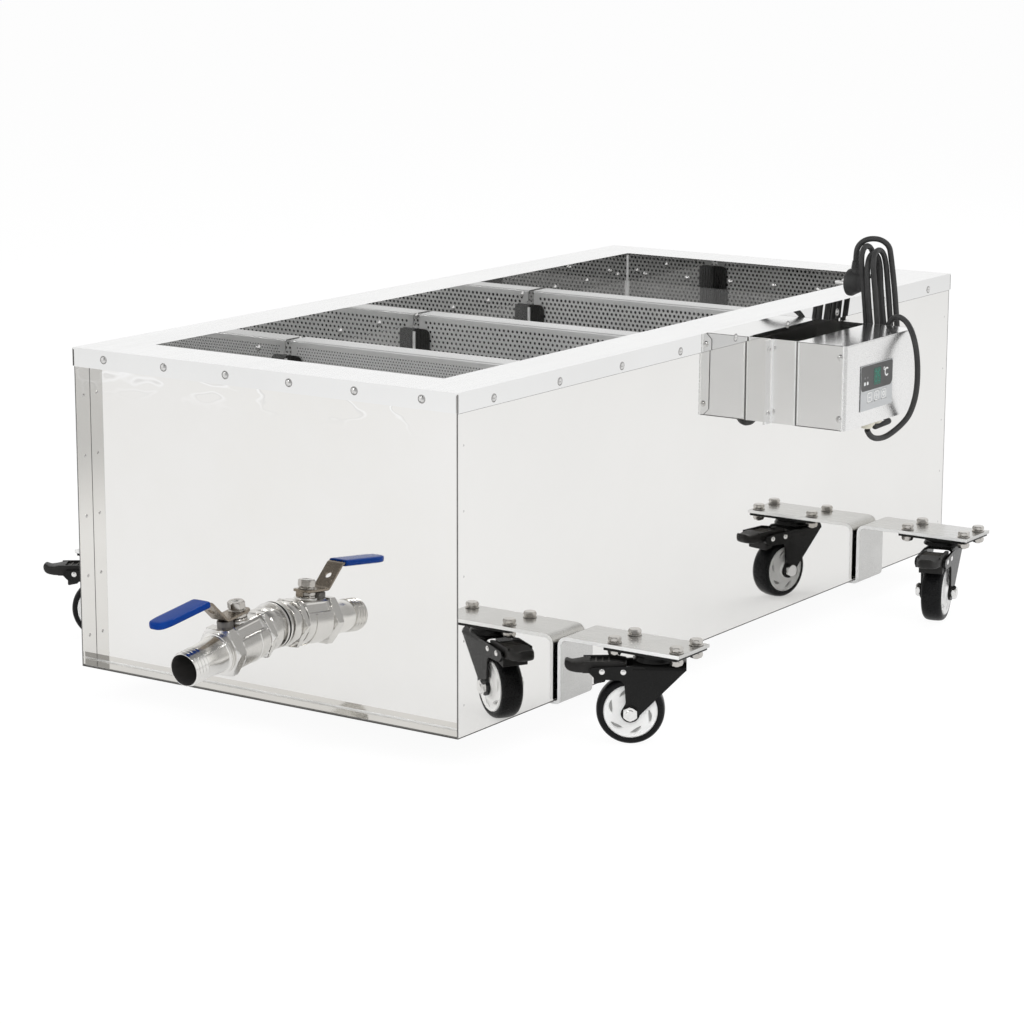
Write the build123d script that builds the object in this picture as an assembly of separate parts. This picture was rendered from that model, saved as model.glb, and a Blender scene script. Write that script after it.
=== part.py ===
from build123d import *
import math
import os

# Heated honey strainer tank on castor outriggers, in millimetres.
# Origin: on the floor, under the centre of the tank.
# +X: towards the wall with the control box.  -Y: towards the outlet valve.  +Z: up.

# Basin, jacket and sheet
BASIN_WIDTH = 400.0
BASIN_LENGTH = 1000.0
BASIN_SHEET = 1.5
SIDE_JACKET = 62.0
END_JACKET = 64.0
SHELL_HEIGHT = 368.0
SHEET = 1.2
END_RECESS = 22.0
END_LIP_SETBACK = 2.0
BASIN_FLOOR_RISE = 47.0
RIM_OUTER_LEG = 21.5
RIM_INNER_LEG = 38.0
RIM_CORNER_SLIT = 2.0

# Rivets
RIVET_HEAD = 8.0
RIVET_HEAD_RISE = 2.0
RIVET_SHANK = 4.0
RIVET_HOLE = 4.2
RIVET_TAIL = 2.0
RIM_END_PITCH = 87.0
RIM_END_COUNT = 6
RIM_END_DROP = 10.5
RIM_SIDE_PITCH = 125.0
RIM_SIDE_COUNT = 9
RIM_SIDE_DROP = 14.0
BASIN_SIDE_PITCH = 79.0
BASIN_SIDE_COUNT = 13
BASIN_END_PITCH = 68.0
BASIN_END_COUNT = 6
BASIN_RIVET_DROP = 27.5
LIP_RIVET_HEAD = 4.0
LIP_RIVET_RISE = 0.8
LIP_RIVET_SHANK = 2.4
LIP_RIVET_HOLE = 2.5
LIP_RIVET_COUNT = 5

# Jacket contents
TAIL_SPACE = 4.0
INSULATION_DROP = 60.0
HEATER_THICKNESS = 3.0
HEATER_MARGIN = 20.0
PROBE_DIAMETER = 6.0
PROBE_LENGTH = 40.0
PROBE_DROP = 52.0

# Strainer screens and their wall guides
SCREEN_PITCH = 259.0
SCREEN_SHEET = 1.5
SCREEN_SIDE_GAP = 6.0
SCREEN_FLOOR_GAP = 0.3
SCREEN_TOP_DROP = 25.0
FLANGE_DEPTH = 32.0
FLANGE_SIDE_GAP = 5.0
GUIDE_SHEET = 1.2
GUIDE_REACH = 23.0
GUIDE_PLAY = 1.2
GUIDE_TOP_DROP = 43.0
GUIDE_CORNER = 8.0
PERFORATION_COLUMNS = 16
PERFORATION_ROWS = 10
PERFORATION_MARGIN = 24.0
HOLE_FINE = 2.5
HOLE_MEDIUM = 3.5
HOLE_COARSE = 4.5

# Outlet and ball valve, by distance out from the front panel along the sloping axis
OUTLET_RISE = 81.0
OUTLET_X = -2.0
OUTLET_TILT = 6.9
NIPPLE_OUTER = 42.0
NIPPLE_BORE = 33.0
NIPPLE_END = 26.0
NIPPLE_OVERLAP = 3.0
NIPPLE_HOLE_REACH = 6.0
GASKET_OUTER = 50.0
GASKET_THICKNESS = 1.5
LOCKNUT_OUTER = 52.0
LOCKNUT_THICKNESS = 3.0
END_PIECE_START = 10.0
END_PIECE_OUTER = 50.0
END_PIECE_LENGTH = 23.5
END_PIECE_HEX = 9.5
END_PIECE_FLATS = 51.0
SPIGOT_LENGTH = 5.7
BODY_OUTER = 52.0
BODY_HEX_FLATS = 52.0
BODY_HEX_LENGTH = 15.0
BODY_NECK = 9.8
VALVE_BORE = 24.0
BALL_DIAMETER = 34.0
CHAMBER_CLEARANCE = 1.2
SEAT_BACKING = 0.5
SEAT_DEPTH = 6.0
SEAT_CLEARANCE = 0.2
THREAD_DEPTH = 10.0
FIT = 0.1

# Valve stem and lever, by height above the valve's axis
BONNET_OUTER = 26.0
BONNET_TOP = 27.0
LUG_DIAMETER = 18.0
LUG_OFFSET = 21.0
LUG_GAP = 0.5
STEM_DIAMETER = 12.0
STEM_NECK = 10.0
TANG_DEPTH = 2.5
STEM_SHOULDER = 26.0
STEM_TOP = 46.8
TANG_WIDTH = 5.0
TANG_LENGTH = 11.0
PACKING_FLATS = 18.0
PACKING_HEIGHT = 6.0
LEVER_SHEET = 3.0
LEVER_WIDTH = 22.0
LEVER_HEEL = 13.0
LEVER_KNEE = 27.5
LEVER_SHOULDER = 51.5
LEVER_LIFT = 27.5
LEVER_REACH = 132.0
LEVER_NUT_FLATS = 17.0
LEVER_NUT_HEIGHT = 10.7
SLEEVE_WIDTH = 25.0
SLEEVE_THICKNESS = 9.0
SLEEVE_START = 54.5
SLEEVE_OVERHANG = 2.7
LEVER_HOLE = 8.0

# Hose barb
BARB_OUTER = 36.6
BARB_BASE = 41.0
BARB_CREST = 38.6
BARB_BORE = 34.6
BARB_THREAD = 38.4
BARB_COLLAR = 47.0
BARB_COLLAR_LENGTH = 4.0
BARB_PLAIN = 33.0
BARB_RIBS = 4
BARB_RIB_PITCH = 5.0

# Outrigger brackets
BRACKET_SPREAD = {"right": 347.0, "left": 330.0}
BRACKET_WIDTH = 65.0
BRACKET_PLATE = 4.0
BRACKET_HEIGHT = 73.5
BRACKET_END = 49.0
BRACKET_UNDERLAP = 60.0
BRACKET_WALL_GAP = 3.0
BRACKET_LOW_BEND = 4.5
BRACKET_HIGH_BEND = 9.0

# Castors
CASTOR_HEIGHT = 106.5
CASTOR_SETOUT = {"right": 108.0, "left": 143.0}
CASTOR_YAW = {"front_right": 211.0, "front_left": 210.0, "rear_right": 284.0, "rear_left": 250.0}
TOP_PLATE_LENGTH = 92.0
TOP_PLATE_WIDTH = 64.0
TOP_PLATE_THICKNESS = 3.0
BOLT_SPACING_X = 78.0
BOLT_SPACING_Y = 41.0
BOLT_DIAMETER = 8.0
BOLT_HOLE = 8.4
BOLT_HEAD_FLATS = 13.0
BOLT_HEAD_HEIGHT = 5.3
WASHER_DIAMETER = 16.0
WASHER_THICKNESS = 1.6
NUT_HEIGHT = 6.5
BOLT_STICKOUT = 1.5
RACE_BOSS = 36.0
RACE_BOSS_HEIGHT = 7.5
RACE_CUP = 46.0
RACE_CUP_HEIGHT = 8.0
RACE_GAP = 0.3
KINGPIN = 10.0
KINGPIN_HEAD = 18.0
KINGPIN_HEAD_HEIGHT = 3.0
CROWN_DROP = 13.0
FORK_PLATE = 3.0
FORK_INNER = 33.0
CROWN_BACK = 34.0
CROWN_FRONT = 27.0
CROWN_SHOULDER = 12.0
WING_DROP = 5.0
WING_REACH = 72.0
WING_DEPTH = 20.0
TRAIL = 26.0
WHEEL_DIAMETER = 75.0
HUB_DIAMETER = 59.0
TREAD_WIDTH = 26.0
TREAD_ROUND = 5.0
HUB_WIDTH = 28.0
HUB_BOSS = 22.0
HUB_BOSS_WIDTH = 32.4
AXLE_DIAMETER = 10.0
AXLE_EYE = 10.5
AXLE_HEAD_FLATS = 15.0
AXLE_HEAD_HEIGHT = 6.0
PEDAL_WIDTH = 30.0
PEDAL_FOOT_WIDTH = 34.0
PEDAL_PIVOT_ALONG = 34.0
PEDAL_PIVOT_DROP = 10.4
PEDAL_PIN = 5.0
PEDAL_TIP = 98.0
WING_RIVET_ALONG = 57.0
WING_RIVET_HEAD = 6.5

# Control box on its wall stand-off
STANDOFF = 36.0
BOX_DEPTH = 64.5
BOX_LENGTH = 177.0
BOX_HEIGHT = 102.0
BOX_START = 88.5
BOX_TOP_DROP = 27.0
WALL_FLANGE = 16.0
BACK_FLANGE = 12.0
STANDOFF_RIVET_INSET = 12.0
COVER_FLANGE = 15.0
COVER_BEVEL = 8.0
SCREW_HEAD = 8.0
SCREW_HEAD_RISE = 2.4
SCREW_SHANK = 3.5
SCREW_HOLE = 3.7
SCREW_LENGTH = 8.0
SCREW_INSET_X = 7.0
SCREW_INSET_Z = 14.0
BEZEL_LENGTH = 82.0
BEZEL_HEIGHT = 55.0
BEZEL_THICKNESS = 0.8
BEZEL_CENTRE_Y = 165.0
BEZEL_DROP = 56.5
MODULE_LENGTH = 72.0
MODULE_HEIGHT = 44.0
MODULE_DEPTH = 28.0
BUTTON_SIZE = 12.5
BUTTON_PITCH = 18.2
BUTTON_FIRST = -18.0
BUTTON_DROP = 12.5
BUTTON_PROUD = 0.3
BUTTON_DEPTH = 2.4
BUTTON_TRAVEL_ROOM = 1.2
BUTTON_GAP = 0.2

# Leads, gland and plug
CORD = 7.1
HEATER_LEAD = 6.5
GROMMET = 12.0
GROMMET_LENGTH = 3.0
GLAND_THREAD = 14.0
GLAND_HEX = 17.0
GLAND_HEX_HEIGHT = 5.0
GLAND_DOME = 15.0
GLAND_INSIDE = 8.0
CORD_GLAND = (90.0, 166.0)
CORD_GLAND_DROP = 9.0
HEATER_GLAND = (88.0, 188.0)
HEATER_GLAND_DROP = 5.0
HEATER_ROUTE = [
    (88.0, 188.0, -5.0),
    (88.0, 188.0, -11.4),
    (85.0, 236.0, -11.2),
    (64.0, 258.0, -10.6),
    (0.0, 258.0, -10.6),
]
HEATER_BENDS = [6.0, 16.0, 16.0]
CORD_ROUTE = [
    (90.0, 167.6, -11.2),
    (90.1, 171.5, -16.6),
    (90.4, 182.5, -23.4),
    (91.5, 197.5, -26.3),
    (93.5, 212.5, -25.6),
    (97.2, 224.8, -20.5),
    (102.7, 232.8, -13.4),
    (110.5, 236.2, -2.7),
    (118.0, 233.7, 13.2),
    (123.0, 230.8, 30.6),
    (125.0, 228.7, 50.0),
    (123.0, 230.8, 68.4),
    (117.5, 236.0, 86.0),
    (108.0, 243.6, 101.5),
    (95.0, 252.0, 113.0),
    (76.5, 262.0, 116.0),
    (61.5, 271.5, 104.0),
    (58.0, 272.5, 86.0),
    (58.0, 272.5, 69.0),
]
HANK_TURNS = 3
HANK_LEFT = 272.5
HANK_WIDTH = 42.4
HANK_BEND = 20.9
HANK_BASE_DROP = 71.0
HANK_TOP_RISE = 65.0
HANK_FIRST_DROP = 91.0
HANK_SETOUT = 30.0
HANK_LAYER_STEP = 4.0
HANK_LEAN = 0.11
OUTER_LOOP_RISE = 74.0
OUTER_LOOP_SPREAD = 3.0
PLUG_SETOUT = 4.0
PLUG_Y = 291.0
PLUG_CORD_RISE = 46.0
PLUG_DISC = 37.0
PLUG_DISC_LENGTH = 9.0
PLUG_BACK = 26.0
PLUG_BODY_LENGTH = 16.0
PLUG_FACE_INSET = 12.0
PLUG_REST_GAP = 0.3
PLUG_BOSS = 14.0
PLUG_BOSS_TIP = 9.5
PIN_DIAMETER = 4.8
PIN_LENGTH = 19.0
PIN_SPACING = 19.0

# Places worked out from the sizes above
HALF_W = BASIN_WIDTH / 2 + SIDE_JACKET
HALF_L = BASIN_LENGTH / 2 + END_JACKET
IN_W = BASIN_WIDTH / 2
IN_L = BASIN_LENGTH / 2
Z_BASE = CASTOR_HEIGHT - (BRACKET_HEIGHT - BRACKET_PLATE)
Z_TOP = Z_BASE + SHELL_HEIGHT
Z_UNDER_RIM = Z_TOP - SHEET
Z_FLOOR = Z_BASE + BASIN_FLOOR_RISE
Z_VALVE = Z_BASE + OUTLET_RISE
PANEL_Y = -(HALF_L - END_RECESS)
BASIN_OUT_W = IN_W + BASIN_SHEET
BASIN_OUT_L = IN_L + BASIN_SHEET
BOX_BACK = HALF_W + STANDOFF
BOX_FACE = BOX_BACK + BOX_DEPTH
BOX_END = BOX_START + BOX_LENGTH
BOX_TOP = Z_TOP - BOX_TOP_DROP
BOX_BOTTOM = BOX_TOP - BOX_HEIGHT
SCREEN_PLACES = [-SCREEN_PITCH, 0.0, SCREEN_PITCH]
RIGHT_X = HALF_W + CASTOR_SETOUT["right"]
LEFT_X = -HALF_W - CASTOR_SETOUT["left"]
CORNERS = {
    "front_right": (RIGHT_X, -BRACKET_SPREAD["right"]),
    "front_left": (LEFT_X, -BRACKET_SPREAD["left"]),
    "rear_right": (RIGHT_X, BRACKET_SPREAD["right"]),
    "rear_left": (LEFT_X, BRACKET_SPREAD["left"]),
}
PEDAL_PIVOT_RISE = CASTOR_HEIGHT - CROWN_DROP - PEDAL_PIVOT_DROP
CHAMBER = BALL_DIAMETER + 2 * CHAMBER_CLEARANCE
SEAT_REACH = BALL_DIAMETER / 2 + SEAT_BACKING
STEM_FOOT = BALL_DIAMETER / 2 - TANG_DEPTH
BALL_OFFSET = SPIGOT_LENGTH + SEAT_REACH
BODY_START = END_PIECE_START + END_PIECE_LENGTH
BALL_PLACE = BODY_START + BALL_OFFSET
BODY_END = BALL_PLACE + SEAT_REACH + BODY_NECK + THREAD_DEPTH
BASIN_PLACE = IN_L + PANEL_Y
STEM_Y = PANEL_Y - BALL_PLACE
HANK_BASE = Z_TOP - HANK_BASE_DROP
HANK_TOP = Z_TOP + HANK_TOP_RISE
HANK_FIRST_BASE = Z_TOP - HANK_FIRST_DROP
HANK_LAYER = HALF_W + HANK_SETOUT
OUTER_LOOP_TOP = Z_TOP + OUTER_LOOP_RISE
PLUG_X = HALF_W + PLUG_SETOUT
PLUG_CORD_Z = Z_TOP + PLUG_CORD_RISE
PLUG_FACE_X = HALF_W - PLUG_FACE_INSET
LEAD_POINTS = [(HALF_W + out, along, BOX_BOTTOM + rise) for out, along, rise in CORD_ROUTE]
SLOPING_NODES = [
    "outlet_nipple", "valve_end_piece", "valve_body", "valve_seats", "valve_ball", "valve_stem",
    "packing_nut", "valve_lever", "lever_nut", "lever_sleeve", "hose_barb",
]


def block(x0, x1, y0, y1, z0, z1):
    """Box between two corners."""
    place = Pos((x0 + x1) / 2, (y0 + y1) / 2, (z0 + z1) / 2)
    return place * Box(abs(x1 - x0), abs(y1 - y0), abs(z1 - z0))


def rod(start, direction, diameter, length):
    """Round bar from a point along a direction."""
    return Plane(origin=start, z_dir=direction) * Cylinder(
        diameter / 2, length, align=(Align.CENTER, Align.CENTER, Align.MIN)
    )


def hex_bar(start, direction, flats, length):
    """Hexagonal bar from a point along a direction."""
    profile = RegularPolygon(flats / 2, 6, major_radius=False)
    return extrude(Plane(origin=start, z_dir=direction) * profile, length)


def valve_rod(near, far, diameter):
    """Round bar on the valve's axis between two distances from the front panel."""
    return rod((OUTLET_X, PANEL_Y - near, Z_VALVE), (0, -1, 0), diameter, far - near)


def valve_cone(near, far, near_diameter, far_diameter):
    """Round taper on the valve's axis between two distances from the front panel."""
    plane = Plane(origin=(OUTLET_X, PANEL_Y - near, Z_VALVE), z_dir=(0, -1, 0))
    taper = Cone(
        near_diameter / 2, far_diameter / 2, far - near, align=(Align.CENTER, Align.CENTER, Align.MIN)
    )
    return plane * taper


def valve_hex(near, far, flats):
    """Hexagonal bar on the valve's axis, with a flat on top."""
    plane = Plane(origin=(OUTLET_X, PANEL_Y - near, Z_VALVE), x_dir=(0, 0, 1), z_dir=(0, -1, 0))
    profile = Rot(0, 0, 30) * RegularPolygon(flats / 2, 6, major_radius=False)
    return extrude(plane * profile, far - near)


def tilted(shape):
    """Turn a piece down about the point where the valve's axis meets the front panel."""
    pivot = Pos(OUTLET_X, PANEL_Y, Z_VALVE)
    return pivot * Rot(OUTLET_TILT, 0, 0) * pivot.inverse() * shape


def nipple_hole(near, far):
    """Sloping bore that the outlet pipe passes through, past two distances from the front panel."""
    bore = valve_rod(near - NIPPLE_HOLE_REACH, far + NIPPLE_HOLE_REACH, NIPPLE_OUTER + 2 * FIT)
    return tilted(bore)


def dome_rivet(seat, outward, head, rise, shank, length):
    """Rivet with a domed head on a seat, and a shank that goes in through the sheets."""
    radius = ((head / 2) ** 2 + rise ** 2) / (2 * rise)
    plane = Plane(origin=seat, z_dir=outward)
    cap = Pos(0, 0, rise - radius) * Sphere(radius)
    cap = cap & Pos(0, 0, rise / 2) * Box(2 * head, 2 * head, rise)
    stem = Cylinder(shank / 2, length, align=(Align.CENTER, Align.CENTER, Align.MAX))
    return plane * (cap + stem)


def row(count, pitch):
    """Evenly spaced places about zero."""
    return [(index - (count - 1) / 2) * pitch for index in range(count)]


def strip(points, thickness):
    """Closed outline of a bent sheet whose middle line follows the points."""
    sides = []
    for sign in (1, -1):
        side = []
        for index, point in enumerate(points):
            before = points[max(index - 1, 0)]
            after = points[min(index + 1, len(points) - 1)]
            first = (Vector(*point) - Vector(*before)) if index else Vector(*after) - Vector(*point)
            last = (Vector(*after) - Vector(*point)) if index < len(points) - 1 else first
            middle = first.normalized() + last.normalized()
            normal = Vector(-middle.Y, middle.X).normalized()
            spread = thickness / 2 / normal.dot(Vector(-first.Y, first.X).normalized())
            side.append(Vector(*point) + normal * spread * sign)
        sides.append(side)
    return make_face(Polyline(*sides[0], *reversed(sides[1]), close=True))


def rim_rivet_places():
    """Seats and outward directions of the rivets in the rim's outer leg."""
    places = []
    for sign in (1, -1):
        for y in row(RIM_SIDE_COUNT, RIM_SIDE_PITCH):
            places.append(((sign * (HALF_W + SHEET), y, Z_TOP - RIM_SIDE_DROP), (sign, 0, 0)))
        for x in row(RIM_END_COUNT, RIM_END_PITCH):
            places.append(((x, sign * (HALF_L + SHEET), Z_TOP - RIM_END_DROP), (0, sign, 0)))
    return places


def basin_rivet_places():
    """Seats and inward directions of the rivets in the rim's inner leg."""
    height = Z_TOP - BASIN_RIVET_DROP
    places = []
    for sign in (1, -1):
        for y in row(BASIN_SIDE_COUNT, BASIN_SIDE_PITCH):
            places.append(((sign * (IN_W - SHEET), y, height), (-sign, 0, 0)))
        for x in row(BASIN_END_COUNT, BASIN_END_PITCH):
            places.append(((x, sign * (IN_L - SHEET), height), (0, -sign, 0)))
    return places


def lip_rivet_places():
    """Seats and inward directions of the small rivets in the end panels' lips."""
    span = Z_TOP - RIM_OUTER_LEG - Z_BASE
    places = []
    for end in (1, -1):
        for side in (1, -1):
            for index in range(LIP_RIVET_COUNT):
                height = Z_BASE + span * (index + 0.5) / LIP_RIVET_COUNT
                seat = (side * (HALF_W - 2 * SHEET), end * (HALF_L - END_RECESS / 2), height)
                places.append((seat, (-side, 0, 0)))
    return places


def standoff_rivet_places():
    """Seats and outward directions of the rivets that hold the stand-off to the wall."""
    places = []
    for y in (BOX_START - WALL_FLANGE / 2, BOX_END + WALL_FLANGE / 2):
        for z in (BOX_BOTTOM + STANDOFF_RIVET_INSET, BOX_TOP - STANDOFF_RIVET_INSET):
            places.append(((HALF_W + SHEET, y, z), (1, 0, 0)))
    return places


def rivet_holes(places, hole, depth):
    """Round cutters on the rivets' lines, from just outside the seat."""
    cutters = []
    for seat, outward in places:
        start = Vector(*seat) + Vector(*outward)
        cutters.append(rod(start, Vector(*outward) * -1, hole, depth + 1))
    return cutters


def make_base_panel():
    return block(-HALF_W, HALF_W, -HALF_L, HALF_L, Z_BASE, Z_BASE + SHEET)


def make_side_panel(side):
    """Flat outer wall, with holes for the rivets that go through it."""
    panel = block(side * (HALF_W - SHEET), side * HALF_W, -HALF_L, HALF_L, Z_BASE + SHEET, Z_UNDER_RIM)
    places = [place for place in rim_rivet_places() if place[1][0] == side]
    if side > 0:
        places += standoff_rivet_places()
    cutters = rivet_holes(places, RIVET_HOLE, 3 * SHEET)
    lip = [place for place in lip_rivet_places() if place[1][0] == -side]
    cutters += rivet_holes(lip, LIP_RIVET_HOLE, 3 * SHEET)
    return panel - cutters


def make_end_panel(end):
    """Recessed end wall, a shallow tray whose lips are riveted inside the side walls."""
    back = end * (HALF_L - END_RECESS - SHEET)
    face = end * (HALF_L - END_RECESS)
    edge = end * (HALF_L - END_LIP_SETBACK)
    wide = HALF_W - SHEET
    low = Z_BASE + SHEET
    tray = block(-wide, wide, back, edge, low, Z_UNDER_RIM)
    pocket = block(
        SHEET - wide, wide - SHEET, face, end * HALF_L, low + SHEET, Z_UNDER_RIM - SHEET
    )
    lip = [place for place in lip_rivet_places() if place[0][1] * end > 0]
    tray = tray - pocket - rivet_holes(lip, LIP_RIVET_HOLE, 2 * SHEET)
    if end < 0:
        tray = tray - nipple_hole(-SHEET, 0)
    return tray


def make_basin():
    """Welded inner basin, open at the top, with the outlet hole low in its front wall."""
    shell = block(
        -BASIN_OUT_W, BASIN_OUT_W, -BASIN_OUT_L, BASIN_OUT_L, Z_FLOOR - BASIN_SHEET, Z_UNDER_RIM
    )
    inside = block(-IN_W, IN_W, -IN_L, IN_L, Z_FLOOR, Z_TOP)
    outlet = nipple_hole(BASIN_PLACE, BASIN_PLACE + BASIN_SHEET)
    return shell - inside - outlet - rivet_holes(basin_rivet_places(), RIVET_HOLE, 4 * SHEET)


def make_rim():
    """Folded cap over the jacket: flat top, short outer leg, longer inner leg."""
    out_w = HALF_W + SHEET
    out_l = HALF_L + SHEET
    hole_w = IN_W - SHEET
    hole_l = IN_L - SHEET
    top = block(-out_w, out_w, -out_l, out_l, Z_UNDER_RIM, Z_TOP)
    outer = block(-out_w, out_w, -out_l, out_l, Z_TOP - RIM_OUTER_LEG, Z_UNDER_RIM)
    outer -= block(-HALF_W, HALF_W, -HALF_L, HALF_L, Z_BASE, Z_TOP)
    inner = block(-IN_W, IN_W, -IN_L, IN_L, Z_TOP - RIM_INNER_LEG, Z_UNDER_RIM)
    rim = top + outer + inner
    rim -= block(-hole_w, hole_w, -hole_l, hole_l, Z_BASE, Z_TOP + 1)
    slits = []
    for sx in (1, -1):
        for sy in (1, -1):
            x = sx * out_w
            y = sy * HALF_L
            slit = block(
                x - sx * (SHEET + RIM_CORNER_SLIT / 2), x + sx, y, y + sy * (SHEET + 1),
                Z_BASE, Z_UNDER_RIM - SHEET,
            )
            slits.append(slit)
    rim -= slits
    rim -= rivet_holes(rim_rivet_places(), RIVET_HOLE, 2 * SHEET)
    rim -= rivet_holes(basin_rivet_places(), RIVET_HOLE, 2 * SHEET)
    return rim


def make_rivets():
    """Domed rivets of the rim, of the basin wall and of the stand-off."""
    through_outer = 2 * SHEET + RIVET_TAIL
    through_basin = SHEET + BASIN_SHEET + RIVET_TAIL
    rivets = []
    for seat, outward in rim_rivet_places() + standoff_rivet_places():
        rivets.append(dome_rivet(seat, outward, RIVET_HEAD, RIVET_HEAD_RISE, RIVET_SHANK, through_outer))
    for seat, outward in basin_rivet_places():
        rivets.append(dome_rivet(seat, outward, RIVET_HEAD, RIVET_HEAD_RISE, RIVET_SHANK, through_basin))
    for seat, outward in lip_rivet_places():
        rivets.append(
            dome_rivet(seat, outward, LIP_RIVET_HEAD, LIP_RIVET_RISE, LIP_RIVET_SHANK, 2 * SHEET)
        )
    return rivets


def make_insulation():
    """Boards that fill the jacket between the basin and the outer panels."""
    low = Z_BASE + SHEET
    high = Z_TOP - INSULATION_DROP
    outer = HALF_W - SHEET - TAIL_SPACE
    end_in = BASIN_OUT_L
    end_out = HALF_L - END_RECESS - SHEET
    boards = []
    for side in (1, -1):
        boards.append(block(side * BASIN_OUT_W, side * outer, -BASIN_OUT_L, BASIN_OUT_L, low, high))
    rear = block(-BASIN_OUT_W, BASIN_OUT_W, end_in, end_out, low, high)
    front = block(-BASIN_OUT_W, BASIN_OUT_W, -end_in, -end_out, low, high)
    front -= nipple_hole(BASIN_PLACE, 0)
    under = block(
        -BASIN_OUT_W, BASIN_OUT_W, -BASIN_OUT_L, BASIN_OUT_L,
        low, Z_FLOOR - BASIN_SHEET - HEATER_THICKNESS,
    )
    return boards + [rear, front, under]


def make_heater():
    """Flat heating mat on the underside of the basin's floor."""
    wide = IN_W - HEATER_MARGIN
    long = IN_L - HEATER_MARGIN
    top = Z_FLOOR - BASIN_SHEET
    return block(-wide, wide, -long, long, top - HEATER_THICKNESS, top)


def make_probe():
    """Temperature probe that lies along the basin's wall behind the control box."""
    x = BASIN_OUT_W + PROBE_DIAMETER / 2
    y = (BOX_START + BOX_END) / 2 - PROBE_LENGTH / 2
    return rod((x, y, Z_TOP - PROBE_DROP), (0, 1, 0), PROBE_DIAMETER, PROBE_LENGTH)


def make_screen(place, hole):
    """Perforated strainer sheet with its top edge folded back as a flange."""
    low = Z_FLOOR + SCREEN_FLOOR_GAP
    high = Z_TOP - SCREEN_TOP_DROP
    wide = IN_W - SCREEN_SIDE_GAP
    flange = IN_W - FLANGE_SIDE_GAP
    front = place - SCREEN_SHEET / 2
    across = 2 * (wide - PERFORATION_MARGIN) / (PERFORATION_COLUMNS - 1)
    up = (high - low - 2 * PERFORATION_MARGIN) / (PERFORATION_ROWS - 1)
    sheet = Pos(0, (low + high) / 2) * Rectangle(2 * wide, high - low)
    holes = []
    for level in range(PERFORATION_ROWS):
        shift = across / 2 if level % 2 else 0
        for column in range(PERFORATION_COLUMNS - level % 2):
            x = PERFORATION_MARGIN - wide + shift + column * across
            holes.append(Pos(x, low + PERFORATION_MARGIN + level * up) * Circle(hole / 2))
    plane = Plane(origin=(0, front, 0), x_dir=(1, 0, 0), z_dir=(0, -1, 0))
    wall = extrude(plane * (sheet - holes), -SCREEN_SHEET)
    fold = block(-flange, flange, front, front + FLANGE_DEPTH, high - SCREEN_SHEET, high)
    return wall + fold


def make_guides():
    """Upright channels on the basin's walls that hold the edges of the screens."""
    half = SCREEN_SHEET / 2 + GUIDE_PLAY
    high = Z_TOP - GUIDE_TOP_DROP
    guides = []
    for side in (1, -1):
        for place in SCREEN_PLACES:
            wall = side * IN_W
            lip = side * (IN_W - GUIDE_REACH)
            bar = block(wall, lip, place - half - GUIDE_SHEET, place + half + GUIDE_SHEET, Z_FLOOR, high)
            inner_top = bar.edges().filter_by(Axis.Y).group_by(Axis.Z)[-1].sort_by(Axis.X)
            bar = fillet(inner_top[0 if side > 0 else -1], GUIDE_CORNER)
            slot = block(wall - side * GUIDE_SHEET, lip - side, place - half, place + half, Z_FLOOR, Z_TOP)
            guides.append(bar - slot)
    return guides


def make_nipple():
    """Outlet pipe welded into the basin's front wall."""
    start = BASIN_PLACE - NIPPLE_OVERLAP
    pipe = valve_rod(start, NIPPLE_END, NIPPLE_OUTER)
    return pipe - valve_rod(start - 1, NIPPLE_END + 1, NIPPLE_BORE)


def make_gasket():
    """Flat ring against the panel, bored on the slope of the pipe."""
    return valve_rod(0, GASKET_THICKNESS, GASKET_OUTER) - nipple_hole(0, GASKET_THICKNESS)


def make_locknut():
    """Round flange ring over the gasket, bored on the slope of the pipe."""
    far = GASKET_THICKNESS + LOCKNUT_THICKNESS
    return valve_rod(GASKET_THICKNESS, far, LOCKNUT_OUTER) - nipple_hole(GASKET_THICKNESS, far)


def make_valve_end():
    """Screwed end piece on the tank side, with a spigot that closes the ball chamber."""
    piece = valve_rod(END_PIECE_START, BODY_START, END_PIECE_OUTER)
    piece += valve_hex(BODY_START - END_PIECE_HEX, BODY_START, END_PIECE_FLATS)
    piece += valve_rod(BODY_START, BODY_START + SPIGOT_LENGTH, CHAMBER - 2 * FIT)
    piece -= valve_rod(END_PIECE_START - 1, NIPPLE_END + 1, NIPPLE_OUTER + 2 * FIT)
    return piece - valve_rod(END_PIECE_START, BODY_END, VALVE_BORE)


def make_valve_body():
    """Round body with its hexagonal hose end, the bonnet that carries the stem, and a stop lug."""
    round_end = BODY_END - BODY_HEX_LENGTH
    body = valve_rod(BODY_START, round_end, BODY_OUTER)
    body += valve_hex(round_end, BODY_END, BODY_HEX_FLATS)
    body += rod((OUTLET_X, STEM_Y, Z_VALVE), (0, 0, 1), BONNET_OUTER, BONNET_TOP)
    lug_top = BONNET_TOP + PACKING_HEIGHT - LUG_GAP
    body += rod((OUTLET_X, STEM_Y - LUG_OFFSET, Z_VALVE), (0, 0, 1), LUG_DIAMETER, lug_top)
    body -= valve_rod(BODY_START - 1, BALL_PLACE + SEAT_REACH, CHAMBER)
    body -= valve_rod(BODY_START, BODY_END + 1, VALVE_BORE)
    body -= valve_rod(BODY_END - THREAD_DEPTH, BODY_END + 1, BARB_THREAD + 2 * FIT)
    return body - rod((OUTLET_X, STEM_Y, Z_VALVE), (0, 0, 1), STEM_DIAMETER + 2 * FIT, BONNET_TOP + 1)


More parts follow.
